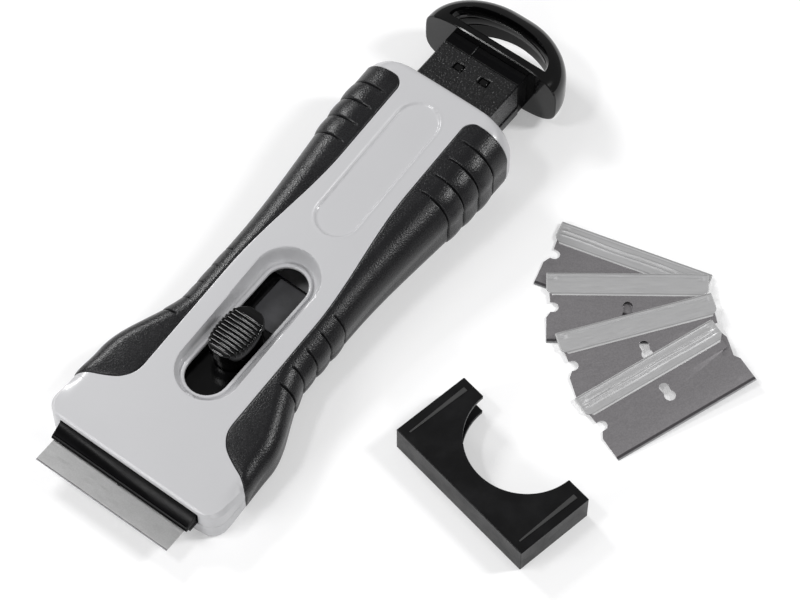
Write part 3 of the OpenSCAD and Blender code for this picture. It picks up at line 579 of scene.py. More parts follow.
def gripEdge(y):  # half distance between the grips on the top face
    if y < waistY:
        return float(curveAt(max(y, gripCurve[0, 0])))
    narrow = float(smooth((y - h["front"] - 53.0) / 40.0))
    edge = h["stripWaist"] + (h["stripRear"] - h["stripWaist"]) * narrow
    return edge + float(cornerCut(gripY1 - y, h["cornerR"]))


def stations():  # places along the handle where a cross section is made, closer where the form changes
    front, rear = h["front"], h["rear"]
    ends = [0, 0.03, 0.08, 0.16, 0.27, 0.4, 0.6, 0.85, 1.15, 1.5, 2.0, 2.6, 3.3, 4.0, 4.8]
    ys = [front + d for d in ends] + [rear - d for d in ends]
    for low, high, step in ((front + 5.4, -51.0, 0.6), (-51.0, 8.6, 0.27), (8.8, 56.0, 0.4)):
        ys += list(np.arange(low, high, step))
    for places, steps in ((grooveYs, (0.06, 0.16, 0.3, 0.5)), ((tipY, gripY1), (0.08, 0.2, 0.4))):
        ys += [y + side * d for y in places for d in (0.0,) + steps for side in (-1, 1)]
    kept = [front]
    for y in sorted(ys):
        if y - kept[-1] > 0.02:
            kept.append(y)
    kept[-1] = rear
    return kept


def stadiumDistance(x, y, r, y0, y1):
    cy = np.clip(y, y0 + r, y1 - r)
    return np.hypot(x, y - cy) - r


def topFeature(x, y, z):  # sunken band with its lip, and the label recess, as heights
    p, q = slot, label
    end = p["y0"] + p["len"]
    d = stadiumDistance(x, y, p["r"], p["y0"], end)
    hole = stadiumDistance(x, y, p["r"], p["y0"] - p["ahead"], end + p["behind"])
    band = p["z"] + math.tan(math.radians(p["slope"])) * (y - p["y0"])
    lip = p["lipH"] * smooth((p["lip"] + p["lipSoft"] - hole) / (2 * p["lipSoft"]))
    floor = band + lip - cornerCut(hole, p["round"])
    rear = smooth((y + 20) / 20.0)  # the wall is softer towards the rear
    wall = smooth((d - p["band"] + 0.45 + 0.15 * rear) / (0.85 + 0.45 * rear))
    z = floor + (z - floor) * wall
    e = stadiumDistance(x, y, q["r"], q["y0"], q["y0"] + q["len"])
    rim = q["rim"] * np.exp(-((e - q["rimAt"]) / q["rimW"]) ** 2)
    return z - q["depth"] * smooth((q["soft"] - e) / (2 * q["soft"])) + rim


def handleSolid(name, columns=22):
    rows = []
    for y in stations():
        atTip, atEnd = abs(y - tipY) < 1e-6, abs(y - gripY1) < 1e-6
        inGrip = tipY - 1e-6 <= y <= gripY1 + 1e-6
        for copy in range(2 if atTip or atEnd else 1):  # the grip's end rows come twice: flush, and sunk
            sunk = inGrip and not ((atTip or atEnd) and (copy == 0) == atTip)
            w, zt, zb, r, lift = sectionOf(y)
            if y <= tipY:
                sB = (w - r) + r * math.pi / 2
            else:
                sB = arcTo(y, gripEdge(min(y, gripY1 - 1e-4)))
            sE = arcTo(y, float(halfW(y)) - h["beltEdge"], top=False)
            fine = min(8.7, sB * 0.7)
            sA = np.concatenate([np.linspace(0, fine, 44), np.linspace(fine, sB - 0.28, 13)[1:],
                                 [sB - 0.16, sB - 0.07, sB - 0.02]])
            dA = -cornerCut(sB - sA, 0.2) * sunk
            dB = np.full(columns, -h["gripT"] * sunk)
            sC = np.concatenate([[sE], np.linspace(sE + 0.3, girth(y), 10)])
            s = np.concatenate([sA, np.linspace(sB + 0.02, sE - 0.02, columns), sC])
            d = np.concatenate([dA, dB, np.zeros_like(sC)])
            x, z, nx, nz = outlineAt(y, s)
            x, z = x + nx * d, z + nz * d
            x[0], x[-1] = 0.0, 0.0
            top = np.arange(len(s)) < len(sA)
            z[top] = topFeature(x[top], y, z[top])
            rows.append(sectionAt(y, x, z))
    return skin(name, mirrored(np.array(rows)), shellMat)


def coarseLoft(inset, count=26):  # the handle's form without its details, smaller by the inset
    rows = []
    for y in np.linspace(h["front"] + inside["end"], h["rear"] - inside["end"], count):
        x, z, nx, nz = outlineAt(y, np.linspace(0, girth(y, inset), 30), inset)
        x[0], x[-1] = 0, 0
        rows.append(sectionAt(y, x, z))
    return skin("loft", mirrored(np.array(rows)), shellMat)


inside = {
    "end": 1.6, "floor": 1.6, "mouthHalf": 20.55, "mouthZ": (4.55, 8.95), "bayHalf": 11.9,
    "bayZ": (4.15, 16.55), "jawBayY": -31.1, "chamfer": 3.0, "pan": 1.6, "panEdge": 1.3, "headR": 2.2,
    "shankR": 1.1, "shank": 9.0, "sill": ((-20.55, -60.2, 1.5), (20.55, -56.7, 4.5)),
    "railNotches": (-27.8, -20.8, -5.8), "seam": 0.05}
# runners, fences and notched rails, as they stand on the right side
insideBars = [((7.4, -59.6, 1.5), (8.6, 16.2, 4.6)), ((12.35, -30.4, 1.5), (13.45, 9.2, 6.85)),
              ((5.4, 18.4, 1.5), (6.6, 60.9, 4.15)), ((11.95, 20.4, 1.5), (13.0, 60.9, 7.0)),
              ((7.6, -31.8, 8.75), (9.4, -1.8, 10.5))]
# bosses of the right side: place, radius, and how deep the screw's head sits
bosses = [(16.6, -28.6, 2.2, 1.2), (15.85, 50.0, 3.1, 4.4)]
bossPlaces = [(side * x, y, r, deep) for x, y, r, deep in bosses for side in (-1, 1)]


def keepInside(cavity):  # what stands up inside the shells is taken out of the space inside them
    for low, high in insideBars:
        for side in (-1, 1):
            xs = sorted((side * low[0], side * high[0]))
            bar = box((xs[0], *low[1:]), (xs[1], *high[1:]))
            for y in inside["railNotches"] if low[2] > 8 else ():  # only the rails have notches
                cut(bar, box((xs[0] - 1, y - 1.0, 8), (xs[1] + 1, y + 1.0, 9.35)))
            cut(cavity, bar)
    cut(cavity, box(*inside["sill"]))
    for x, y, r, deep in bossPlaces:
        cut(cavity, lathe([(r, 1.5), (r, 30.0)], x, y))


def lathe(profile, x, y):  # upright round tool through (radius, height) pairs
    rings = [[(x + r * math.cos(t), y + r * math.sin(t), z) for t in turns(48)] for r, z in profile]
    return skin("lathe", np.array(rings), shellMat)


def slotTool(grow, low, high):  # stadium in the plane of the slot
    p = slot
    plan = stadiumPoints(p["r"] + grow, -p["ahead"] - grow, p["len"] + p["behind"] + grow)
    return tilted(prism(plan, low, high), (0, p["y0"], p["z"]), p["slope"])


def makeCavity():
    i = inside
    cavity = coarseLoft(h["gripT"] + h["wall"])
    combine(cavity, box((-far, -far, i["floor"]), (far, far, far)), "INTERSECT")
    strip = coarseLoft(h["wall"] + 0.2)
    side = h["stripRear"] - 0.5
    combine(strip, box((-side, -far, i["floor"]), (side, far, far)), "INTERSECT")
    combine(cavity, strip, "UNION")
    half, c, y1 = i["mouthHalf"], i["chamfer"], i["jawBayY"]
    plan = [(-half, -59.5), (half, -59.5), (half, y1 - c), (half - c, y1), (-half + c, y1), (-half, y1 - c)]
    combine(cavity, prism(plan, *i["mouthZ"]), "UNION")
    grow = slot["band"] + i["panEdge"]
    plan = stadiumPoints(slot["r"] + grow, -grow, slot["len"] + grow)
    cut(cavity, tilted(prism(plan, -i["pan"], 12), (0, slot["y0"], slot["z"]), slot["slope"]))
    keepInside(cavity)
    return cavity


def makeShells():
    i = inside
    body = cut(handleSolid("handleSolid"), makeCavity())
    r, soft, shank, bores = i["headR"], 0.25, i["shankR"], []
    for x, y, bossR, deep in bossPlaces:
        head = [(r + soft, -1), (r + soft, 0.0), (r, soft), (r, deep)]
        bores.append(lathe(head + [(shank, deep + 0.01), (shank, deep + i["shank"])], x, y))
    cut(body, joined("bores", bores))
    cut(body, slotTool(0.0, -5, 12))
    cut(body, slotTool(slot["relief"], -5, -slot["edge"]))
    openings = ((i["mouthHalf"], -62, -58.4, i["mouthZ"]), (i["bayHalf"], 59, 62, i["bayZ"]))
    for half, low, high, (z0, z1) in openings:
        cut(body, box((-half, low, z0), (half, high, z1)))
    z0, z1 = h["parting"]
    angle = math.degrees(math.atan((z1 - z0) / bodyLen))
    for side, name, node in ((1, "topShellLooks", "top_shell"), (-1, "bottomShellLooks", "bottom_shell")):
        obj = linked(name, body.data.copy())
        low, high = sorted((side * i["seam"], side * far))
        keep = tilted(box((-far, -10, low), (far, 140, high)), (0, h["front"], z0), angle)
        paint(combine(obj, keep, "INTERSECT"), shellMat, 32.0)
        stands(obj, node, "handle")
    drop(body)


grip = {
    "cut": 0.62, "cutW": 0.2, "swell": 0.4, "crown": 0.36, "thick": 1.42, "gap": 0.1, "proud": 0.08,
    "round": 0.35}


def grooveShape(y):  # how far the grip swells, and how deep it is cut, at one place along it
    swell, depth = 0.0, 0.0
    last = (grooves["waistCount"] - 1, len(grooveYs) - 1)  # behind these the grip runs on smooth
    for k, g in enumerate(grooveYs):
        span = grooves["waistStep"] if k <= last[0] else grooves["rearStep"]
        back = y - g
        depth += grip["cut"] * math.exp(-abs(back / grip["cutW"]) ** 2.6)
        if k not in last and 0 < back < span:
            swell += grip["swell"] * (math.sin(math.pi * back / span) ** 0.6) * (1.25 - 0.5 * back / span)
    return swell, depth


def makeGrip(side, name, node):
    ys = [y for y in stations() if tipY + 0.07 <= y <= gripY1 - 0.07]
    outer, inner = [], []
    for y in ys:
        sB = arcTo(y, gripEdge(y)) + grip["gap"]
        sE = arcTo(y, float(halfW(y)) - h["beltEdge"], top=False) - 0.06
        edgeCols = np.array([0, 0.04, 0.1, 0.18, 0.3])
        s = np.concatenate([sB + edgeCols, np.linspace(sB + 0.5, sE - 0.5, 64), sE - edgeCols[::-1]])
        x, z, nx, nz = outlineAt(y, s)
        gap = np.minimum(np.minimum(s - sB, sE - s), min(y - ys[0], ys[-1] - y))
        crown = np.sin(math.pi * np.clip((s - sB) / (0.62 * (sE - sB)), 0, 1)) ** 0.8
        swell, depth = grooveShape(y)
        lift = grip["proud"] - cornerCut(gap, grip["round"]) + grip["crown"] * crown
        lift += swell * smooth((s - sB - 3.0) / 7.0) * smooth((sE - s - 0.6) / 2.0)
        lift -= depth * smooth((s - sB - 1.6) / 1.2) * smooth((sE - s - 0.5) / 1.6)
        outer.append(sectionAt(y, x + nx * lift, z + nz * lift))
        inner.append(sectionAt(y, x - nx * grip["thick"], z - nz * grip["thick"]))
    m, n = len(ys), len(outer[0])
    verts = np.concatenate(outer + inner)
    verts[:, 0] *= side
    off = m * n
    around = list(range(n)) + [off + i for i in range(n - 1, -1, -1)]  # once round the first section
    faces = [(a + j, a + j + n, b + j + n, b + j) for j in range(0, off - n, n)
             for a, b in zip(around, around[1:] + around[:1])]
    end = off - n
    for i in range(n - 1):
        faces.append((i, i + 1, off + i + 1, off + i))
        faces.append((end + i, end + off + i, end + off + i + 1, end + i + 1))
    obj = meshObject(name, verts.tolist(), faces, gripMat, 60.0, merge=0.0005)
    return stands(obj, node, "handle")


makeShells()
makeGrip(1, "rightGripLooks", "right_grip")
makeGrip(-1, "leftGripLooks", "left_grip")


# hanging loop: a flat plate, a dome behind it and a stepped hole through the dome

loop = {
    "y": 78.7, "w": 40.0, "h": 18.3, "mid": 9.95, "plate": 1.2, "len": 15.4, "corner": 0.54, "rim": 0.28,
    "holeHalf": 14.0, "holeY": 3.2, "holeDeep": 6.7, "step": 0.65, "ledge": 1.8, "ledgeH": 0.9,
    "ledges": ((-0.9, 1.0), (3.6, 0.0)),  # height above the middle, and steps left above it
    "beads": ((-2.2, 2.0), (2.4, 1.0), (5.3, 0.0)), "beadH": 0.26, "beadOut": 0.24,
    "lowEnd": ((-2, 2.0, 0.9), (0.6, 2.0, 0.5), (2.2, 2.0, 0.1), (3.4, 2.0, 0.0)),  # height, steps and flare
    "topEnd": ((6.4, 0.0, 0.0), (7.2, 0.0, 0.15), (8.0, 0.0, 0.55), (9.6, 0.0, 1.9)),  # and above the middle
    "tongueY": 75.1, "block": ((-11.25, 4.2), (11.25, 16.18)), "catchX": 3.8}


def domeRing(t, y, inset=0.0):
    a = turns(168)
    bulge = math.sqrt(max(1 - t * t, 0.0))
    hw, hh = loop["w"] / 2 * bulge - inset, loop["h"] / 2 * math.sqrt(bulge) - inset
    x = hw * np.sign(np.cos(a)) * np.abs(np.cos(a)) ** loop["corner"]
    z = loop["mid"] + hh * np.sign(np.sin(a)) * np.abs(np.sin(a)) ** loop["corner"]
    return sectionAt(y, x, z)


def holeRing(steps, grow, z):  # a half ellipse and its straight side
    y0 = loop["y"] + loop["holeY"] - grow
    a = np.linspace(0, math.pi, 120)
    half = loop["holeHalf"] + loop["step"] * steps + grow
    y = y0 + (loop["holeDeep"] + loop["ledge"] * steps + 2 * grow) * np.sin(a)
    line = np.linspace(-1, 1, 14)[1:-1] * half
    x, y = np.concatenate([half * np.cos(a), line]), np.concatenate([y, np.full_like(line, y0)])
    return np.stack([x, y, np.full_like(x, z)], 1)


def makeLoop():
    p = loop
    mid, tongue = p["mid"], p["tongueY"]
    rings = [domeRing(0, p["y"] + d, i) for d, i in ((0, p["rim"]), (p["rim"], 0), (0.5, 0))]
    for t in 1 - (1 - np.linspace(0, 1, 60)[:-1]) ** 1.9:
        rings.append(domeRing(t, p["y"] + p["plate"] + (p["len"] - p["plate"]) * t))
    body = skin("loopBody", np.array(rings), glossMat, 30.0)
    levels = list(p["lowEnd"])
    for base, low in p["ledges"]:
        levels += [(mid + base + p["ledgeH"] * k / 8, low + 1.0 - float(smooth(k / 8)), 0.0)
                   for k in range(9)]
    for z, step in p["beads"]:
        levels += [(mid + z + p["beadH"] * k / 4, step, -p["beadOut"] * math.cos(math.pi / 8 * k))
                   for k in range(-4, 5)]
    levels = sorted(levels) + [(mid + z, step, flare) for z, step, flare in p["topEnd"]]
    cut(body, skin("hole", np.array([holeRing(step, grow, z) for z, step, grow in levels]), glossMat))
    (x0, z0), (x1, z1) = p["block"]
    block = softened(box((x0, tongue, z0), (x1, p["y"] + 0.02, z1)), 0.12)
    # the block takes the darker, plain clamp material instead of the magazine's grain: painted shade under the
    # loop
    added(paint(block, clampMat), "endBlock", "magazine")
    hook = softened(box((-9.9, 67.9, 13.95), (9.9, tongue + 0.4, 15.05)), 0.15)
    catches = [softened(box((x - 1.1, 70.0, 14.9), (x + 1.1, 71.8, 15.85)), 0.2)
               for x in (-p["catchX"], p["catchX"])]
    obj = joined("hangingLoopLooks", [body, hook] + catches)
    shade(obj.data, 38.0)
    return stands(obj, "hanging_loop", "magazine")


# button: a dished cap on a neck, and ribs made by Geometry Nodes

button = {
    "y": -20.8, "w": 4.9, "l": 7.6, "top": 16.15, "low": 13.0, "dip": 0.4, "dipL": 6.5, "crown": 0.25,
    "edge": 0.55, "oval": 2.5, "rearFall": (0.95, 4.9, 2.8), "frontFall": (0.5, 5.6, 2.2),  # deep, start, long
    "ribs": 10, "ribFirst": -6.3, "ribStep": 1.17, "ribHigh": 0.6, "ribWide": 0.54,
    "neck": (4.55, 6.8, 7.4), "foot": (5.9, 7.8, 6.45, 7.45)}  # halves, and heights


def capHalf(v):
    return button["w"] * (1 - min(abs(v / button["l"]), 1) ** button["oval"]) ** (1 / button["oval"])


def capTop(v):
    z = button["top"] + button["dip"] * (v / button["dipL"]) ** 2
    for way, (depth, start, length) in ((1, button["rearFall"]), (-1, button["frontFall"])):
        z -= depth * smooth((way * v - start) / length)
    return z


def bowed(count):  # from -1 to 1, closer together at both ends
    return np.sin(np.linspace(-0.5, 0.5, count) * math.pi)


def makeCap():
    p, rows = button, []
    for v in p["l"] * bowed(150):
        hw = max(capHalf(v), 0.02)
        x = hw * bowed(41)
        fall = cornerCut(np.minimum(hw - np.abs(x), p["l"] - abs(v)), p["edge"])
        z = capTop(v) - p["crown"] * (x / p["w"]) ** 2 - fall
        low = np.linspace(hw, -hw, 9) * 0.985
        x, z = np.concatenate([x, low]), np.concatenate([z, np.full(9, p["low"])])
        rows.append(sectionAt(p["y"] + v, x, z))
    return skin("cap", np.array(rows)[:, ::-1], glossMat, 50.0)


def ribMesh():  # one ridge across the cap, from -1 to 1 along X
    half, top = button["ribWide"] / 2, button["ribHigh"]
    prof = [(-1, 0), (-0.74, 0.62), (-0.62, 0.7), (0.5, 0.97), (0.74, 1), (0.84, 0.97), (1, 0)]
    rows = []
    for u in bowed(25):
        end = max(abs(u) - 0.86, 0) / 0.14
        fall = button["crown"] * u * u + 0.62 * (1 - math.sqrt(max(1 - end ** 2, 0)))
        rows.append([(u, y * half, z * top - fall) for y, z in prof]
                    + [(u, half, -0.5 - fall), (u, -half, -0.5 - fall)])
    return skin("rib", np.array(rows), glossMat, 18.0)


class Tree:  # a Geometry Nodes group with named inputs
    def __init__(self, name, inputs):  # each input has a default value, or else its kind
        self.group = bpy.data.node_groups.new(name, "GeometryNodeTree")
        self.ids = {}
        face = self.group.interface
        face.new_socket(name="Geometry", in_out="INPUT", socket_type="NodeSocketGeometry")
        for key, value in inputs.items():
            kind = {int: "Int", float: "Float"}.get(type(value), value)
            sock = face.new_socket(name=key, in_out="INPUT", socket_type=f"NodeSocket{kind}")
            if kind != value:
                sock.default_value = value
            self.ids[key] = sock.identifier
        face.new_socket(name="Geometry", in_out="OUTPUT", socket_type="NodeSocketGeometry")
        self.source = self.group.nodes.new("NodeGroupInput")
        self.end = self.group.nodes.new("NodeGroupOutput")

    def input(self, key):
        return Sock(self.group, self.source.outputs[key])

    def node(self, kind, settings=None, inputs=None, out=0):
        return addNode(self.group, kind, settings, inputs, out)

    def instances(self, key, inputs):  # the object of one input, put on points
        shape = self.node("GeometryNodeObjectInfo", None, {"Object": self.input(key)}, "Geometry")
        return self.node("GeometryNodeInstanceOnPoints", None, {"Instance": shape, **inputs})

    def finish(self, geometry):
        solid = self.node("GeometryNodeRealizeInstances", None, {0: geometry})
        painted = self.node("GeometryNodeSetMaterial", None,
                            {"Geometry": solid, "Material": self.input("Material")})
        self.group.links.new(painted.out, self.end.inputs[0])

    def run(self, name, mesh, values):  # applies the tree to a mesh and returns a plain object
        obj = linked(name, mesh)
        mod = obj.modifiers.new("nodes", "NODES")
        mod.node_group = self.group
        for key, value in values.items():
            mod[self.ids[key]] = value
        return freeze(obj)


def ribTree():  # ribs in a row, each as wide as the cap is there
    tree = Tree("capRibs", {"Rib": "Object", "Count": 11, "First": 0.0, "Step": 0.001, "Half Width": 0.005,
                            "Half Length": 0.008, "Top": 0.016, "Dip": 0.0005, "Middle": 0.0,
                            "Material": "Material"})
    line = tree.node("GeometryNodeMeshLine", {"mode": "OFFSET"}, {"Count": tree.input("Count")})
    index = tree.node("GeometryNodeInputIndex")
    along = tree.input("First") + index * tree.input("Step")
    part = abs(along / tree.input("Half Length"))
    half = tree.input("Half Width") * ((1.0 - part ** button["oval"]) ** (1 / button["oval"]))
    height = tree.input("Top") + tree.input("Dip") * (along * along) / (button["dipL"] * mm) ** 2
    place = tree.node("ShaderNodeCombineXYZ", None, {"Y": along + tree.input("Middle"), "Z": height})
    points = tree.node("GeometryNodeSetPosition", None, {"Geometry": line, "Position": place})
    size = tree.node("ShaderNodeCombineXYZ", None, {"X": half * 1000.0, "Y": 1.0, "Z": 1.0})
    tree.finish(tree.instances("Rib", {"Points": points, "Scale": size}))
    return tree


def makeButton():
    p = button
    rib = ribMesh()
    sizes = {"First": p["ribFirst"], "Step": p["ribStep"], "Top": p["top"], "Dip": p["dip"], "Middle": p["y"],
             "Half Width": p["w"] + 0.04, "Half Length": p["l"] + 0.02}
    values = {key: size * mm for key, size in sizes.items()}
    values.update({"Rib": rib, "Count": p["ribs"], "Material": glossMat})
    ribs = ribTree().run("ribs", bpy.data.meshes.new("ribSeed"), values)
    drop(rib)
    r, long, low = p["neck"]
    neck = prism([(x, y + p["y"]) for x, y in stadiumPoints(r, -long, long)], low, p["low"] + 0.2)
    wide, long, low, high = p["foot"]
    foot = softened(box((-wide, p["y"] - long, low), (wide, p["y"] + long, high)), 0.15)
    obj = paint(joined("sliderButtonLooks", [makeCap(), ribs, neck, foot]), glossMat, 40.0)
    return stands(obj, "slider_button", "button")


# screws: one cross-recessed head, put on every point of a mesh by Geometry Nodes

# radius and height of the head, length, and radius of the thread; and where the cover's screws stand
screw = {"shell": (2.1, 0.9, 8.4, 1.1), "cover": (1.0, 0.3, 2.7, 0.5), "coverIn": 1.0, "coverZ": 8.4}


def headMesh(name, r, high, shaft, shaftR):  # domed head looking down -Z, with its thread above
    prof = [(r * k, high * z) for k, z in ((0.35, -1), (0.75, -0.96), (0.93, -0.8), (1, -0.5), (1, 0))]
    prof.append((shaftR, 0.02))
    while prof[-1][1] < shaft - 0.6:  # one turn of the thread
        z = prof[-1][1]
        prof += [(shaftR, z + 0.15), (shaftR * 0.78, z + 0.32), (shaftR * 0.78, z + 0.42), (shaftR, z + 0.6)]
    prof.append((shaftR * 0.3, shaft))
    rings = np.array([[(q * math.cos(t), q * math.sin(t), z) for t in turns(40)] for q, z in prof])
    head = skin(name, rings, zincMat, 40.0)
    for degrees in (0, 90):
        bar = box((-0.62 * r, -0.13 * r, -high - 0.3), (0.62 * r, 0.13 * r, -high * 0.35))
        bar.data.transform(turned(degrees, "Z"))
        cut(head, bar)
    return head


def scatterTree():
    tree = Tree("screwsOnPoints", {"Screw": "Object", "Size": 1.0, "Turn": 0.4, "Seed": 3,
                                   "Material": "Material"})
    limits = {2: 0.0, 3: 3.0, "Seed": tree.input("Seed")}
    spin = tree.node("FunctionNodeRandomValue", {"data_type": "FLOAT"}, limits, 1)
    angle = tree.node("ShaderNodeCombineXYZ", None, {"Z": spin * tree.input("Turn")})
    size = tree.node("ShaderNodeCombineXYZ", None, {k: tree.input("Size") for k in "XYZ"})
    points = tree.input("Geometry")
    tree.finish(tree.instances("Screw", {"Points": points, "Rotation": angle, "Scale": size}))
    return tree


def scattered(name, piece, places, turn, seed, material):  # a copy of the piece at each place
    points = bpy.data.meshes.new("seed")
    points.from_pydata([tuple(c * mm for c in p) for p in places], [], [])
    obj = scatterTree().run(name, points, {"Screw": piece, "Size": 1.0, "Turn": turn, "Seed": seed,
                                           "Material": material})
    drop(piece)
    return obj


def makeScrews():
    low, high = [Vector(v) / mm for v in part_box("cover_screws")]
    margin = screw["coverIn"]
    corners = [(x, y, screw["coverZ"]) for x in (low.x + margin, high.x - margin)
               for y in (low.y + margin, high.y - margin)]
    pockets = [(x, y, deep) for x, y, r, deep in bossPlaces]
    rows = (("shell", "handle", pockets, 0), ("cover", "carriage", corners, 180))
    for kind, body, places, over in rows:
        head = headMesh(kind + "Screw", *screw[kind])
        head.data.transform(turned(over, "X"))  # the cover's heads look up
        obj = scattered(kind + "ScrewsLooks", head, places, 0.5, 5, zincMat)
        shade(obj.data, 40.0)
        stands(obj, kind + "_screws", body)


# short raised line from the left window to the plate

coverRib = {"low": (-3.62, 72.1, 15.9), "high": (-3.3, 78.72, 16.42), "soft": 0.1}


def makeCoverRib():
    rib = softened(box(coverRib["low"], coverRib["high"]), coverRib["soft"])
    added(paint(rib, magMat), "coverRib", "magazine")


makeLoop()
makeCoverRib()
makeButton()
makeScrews()


# rigid pieces that keep their CAD shape get soft edges

for row in (("magazine_cover", 0.3, magMat, "black_matte", "magazine"),
            ("magazine_tray", 0.25, magMat, "black_matte", "magazine"),
            ("slide_cover", 0.12, plateMat, "dark_plate", "carriage")):
    roundedCopy(*row)


# satin plate behind the button, its corners cut towards it, painted paler than the cover as a painted pool of
# light: its left edge and cut front corner follow the shadows of the slot's lip and of the button

litPlate = {
    "plan": [(-3.7, 0.2), (-3.7, -9.6), (-1.9, -13.2), (4.9, -13.2), (4.9, 0.2)], "z": (8.38, 8.72),
    "soft": 0.2}


def makeLitPlate():
    obj = softened(prism(litPlate["plan"], *litPlate["z"]), litPlate["soft"])
    added(paint(obj, litPlateMat, 30.0), "coverDeck", "carriage")


makeLitPlate()
roundedCopy("blade_carrier", 0.12, clampMat, "black_gloss", "carriage")


# clamp that holds the blade: rounded front with a thin line across it

clamp = {
    "soft": 0.22, "line": ((-19.7, -64.18, 6.92), (19.7, -64.0, 7.5)),
    "stud": {"r": 1.3, "y": -63.55, "z": (5.0, 6.05)}}


def makeClamp():
    obj = roundedCopy("blade_clamp", clamp["soft"], clampMat, "black_gloss", "carriage")
    cut(obj, box(*clamp["line"]))
    shade(obj.data, 35.0)
    p = clamp["stud"]
    stud = prism(circlePoints(p["r"], p["y"], 31), *p["z"])
    added(softened(paint(stud, clampMat), 0.1), "locatingStud", "carriage")


makeClamp()


# blade guard: a shallow box with a half-moon opening, two ribs laid on it by Geometry Nodes

guard = {
    "l": 42.7, "w": 21.1, "h": 8.2, "wall": 0.85, "skin": 1.2, "moon": 14.6, "soft": 0.16,
    "place": (65.8, -9.5, 0.0), "turn": -11.4, "ribTip": 0.4, "ribW": 1.25, "ribL": 17.4, "ribH": 0.2,
    "ribIn": 2.6}


def makeGuard():
    g = guard
    x, y, high, wall = g["l"] / 2, g["w"] / 2, g["h"], g["wall"]
    body = box((-x, -y, 0), (x, y, high))
    cut(body, box((-x + wall, -y + wall, g["skin"]), (x - wall, y + 1, high - g["skin"])))
    cut(body, prism(circlePoints(g["moon"], y, 160), -1, high + 1))
    softened(body, g["soft"])
    tip, half, end = g["ribTip"] / 2, g["ribW"] / 2, g["ribL"] / 2
    rib = softened(prism([(-tip, -end), (tip, -end), (half, end), (-half, end)], -0.4, g["ribH"]), 0.09)
    places = [(side * (x - g["ribIn"]), 0, high) for side in (-1, 1)]
    ribs = scattered("guardRibs", rib, places, 0.0, 1, guardMat)
    obj = paint(joined("bladeGuardLooks", [body, ribs]), guardMat)
    obj.data.transform(Matrix.Translation(Vector(g["place"]) * mm) @ turned(g["turn"], "Z"))
    stands(obj, "blade_guard", "guard")


makeGuard()


# blades: a ground strip with its keyhole and side notches, and a folded back, crimped on some

blade = {
    "l": 39.0, "w": 19.0, "t": 0.25, "bevel": 0.6, "hone": 0.3, "keyY": 7.6, "keyR": 1.4, "keyLong": 2.5,
    "keyThin": 0.86, "notchY": 9.6, "notchR": 1.3, "notchDeep": 3.0, "place": (0, -71.2, 5.7)}
fold = {
    "w": 6.2, "t": 1.1, "clip": 1.8, "round": 0.42, "sheet": 0.17, "fade": (0.4, 1.6), "lip": (0.22, 0.6),
    "dent": 0.3, "wave": (0.1, 0.35)}
# soft lines pressed into a folded back: height, distance from the middle, half width and power
pressed = {True: [(0.17, 0.62, 0.2, 2), (0.17, -0.62, 0.2, 2), (-0.12, 0.0, 0.34, 4)], False: []}
# and along its folded edge: height, distance from the edge, half width
edged = {True: [(-0.1, 0.9, 0.18)], False: [(-0.16, 1.0, 0.22), (0.03, 0.6, 0.2)]}
# spare blades: place, turn, height in folds, and tilt in degrees about X and Y for each millimetre of fold
spares = [(58.8, 53.6, 14.1, 0.286, 1.73, 0.0), (64.5, 47.3, 35.8, 0.856, 2.84, -1.13),
          (74.1, 40.7, 52.7, 1.243, 3.18, -2.11), (84.5, 34.2, 68.9, 1.332, 2.07, -2.91)]
crimpedSpares = (1, 4)


def bladeMesh(name, material):
    b = blade
    half, shoulder, r = b["l"] / 2, b["notchY"] - b["notchR"], b["notchR"]
    right = [(half, 0), (half, shoulder - 1.6), (half - 1.0, shoulder)]
    inner = half - b["notchDeep"] + r
    right += [(inner - r * math.cos(t), b["notchY"] + r * math.sin(t))
              for t in np.linspace(-math.pi / 2, math.pi / 2, 15)]
    right += [(half - 0.95, shoulder + 2 * r), (half - 0.4, b["w"] - 0.2)]
    obj = prism(right + [(-x, y) for x, y in reversed(right)], 0, b["t"])
    wide, thin = b["keyR"], b["keyR"] * b["keyThin"]
    neck = math.asin(thin * 0.8 / wide)
    hole = [(wide * math.cos(t), b["keyY"] + wide * math.sin(t))
            for t in np.linspace(math.pi / 2 + neck, 2.5 * math.pi - neck, 30)]
    hole += [(thin * math.cos(t), b["keyY"] + b["keyLong"] + thin * math.sin(t))
             for t in np.linspace(0, math.pi, 17)]
    cut(obj, prism(hole, -1, 1))
    bm = bmesh.new()
    bm.from_mesh(obj.data)
    for y in (b["bevel"], b["hone"]):
        bmesh.ops.bisect_plane(bm, geom=list(bm.verts) + list(bm.edges) + list(bm.faces),
                               plane_co=(0, y * mm, 0), plane_no=(0, 1, 0))
    for v in bm.verts:
        if v.co.y < b["bevel"] * mm - 1e-7:
            v.co.z = (b["t"] / 2 + (v.co.z / mm - b["t"] / 2) * max(v.co.y / mm / b["bevel"], 0.06)) * mm
    bm.to_mesh(obj.data)
    bm.free()
    softened(obj, 0.035, 2, 50)
    obj.name = name
    return paint(obj, material, 20.0)


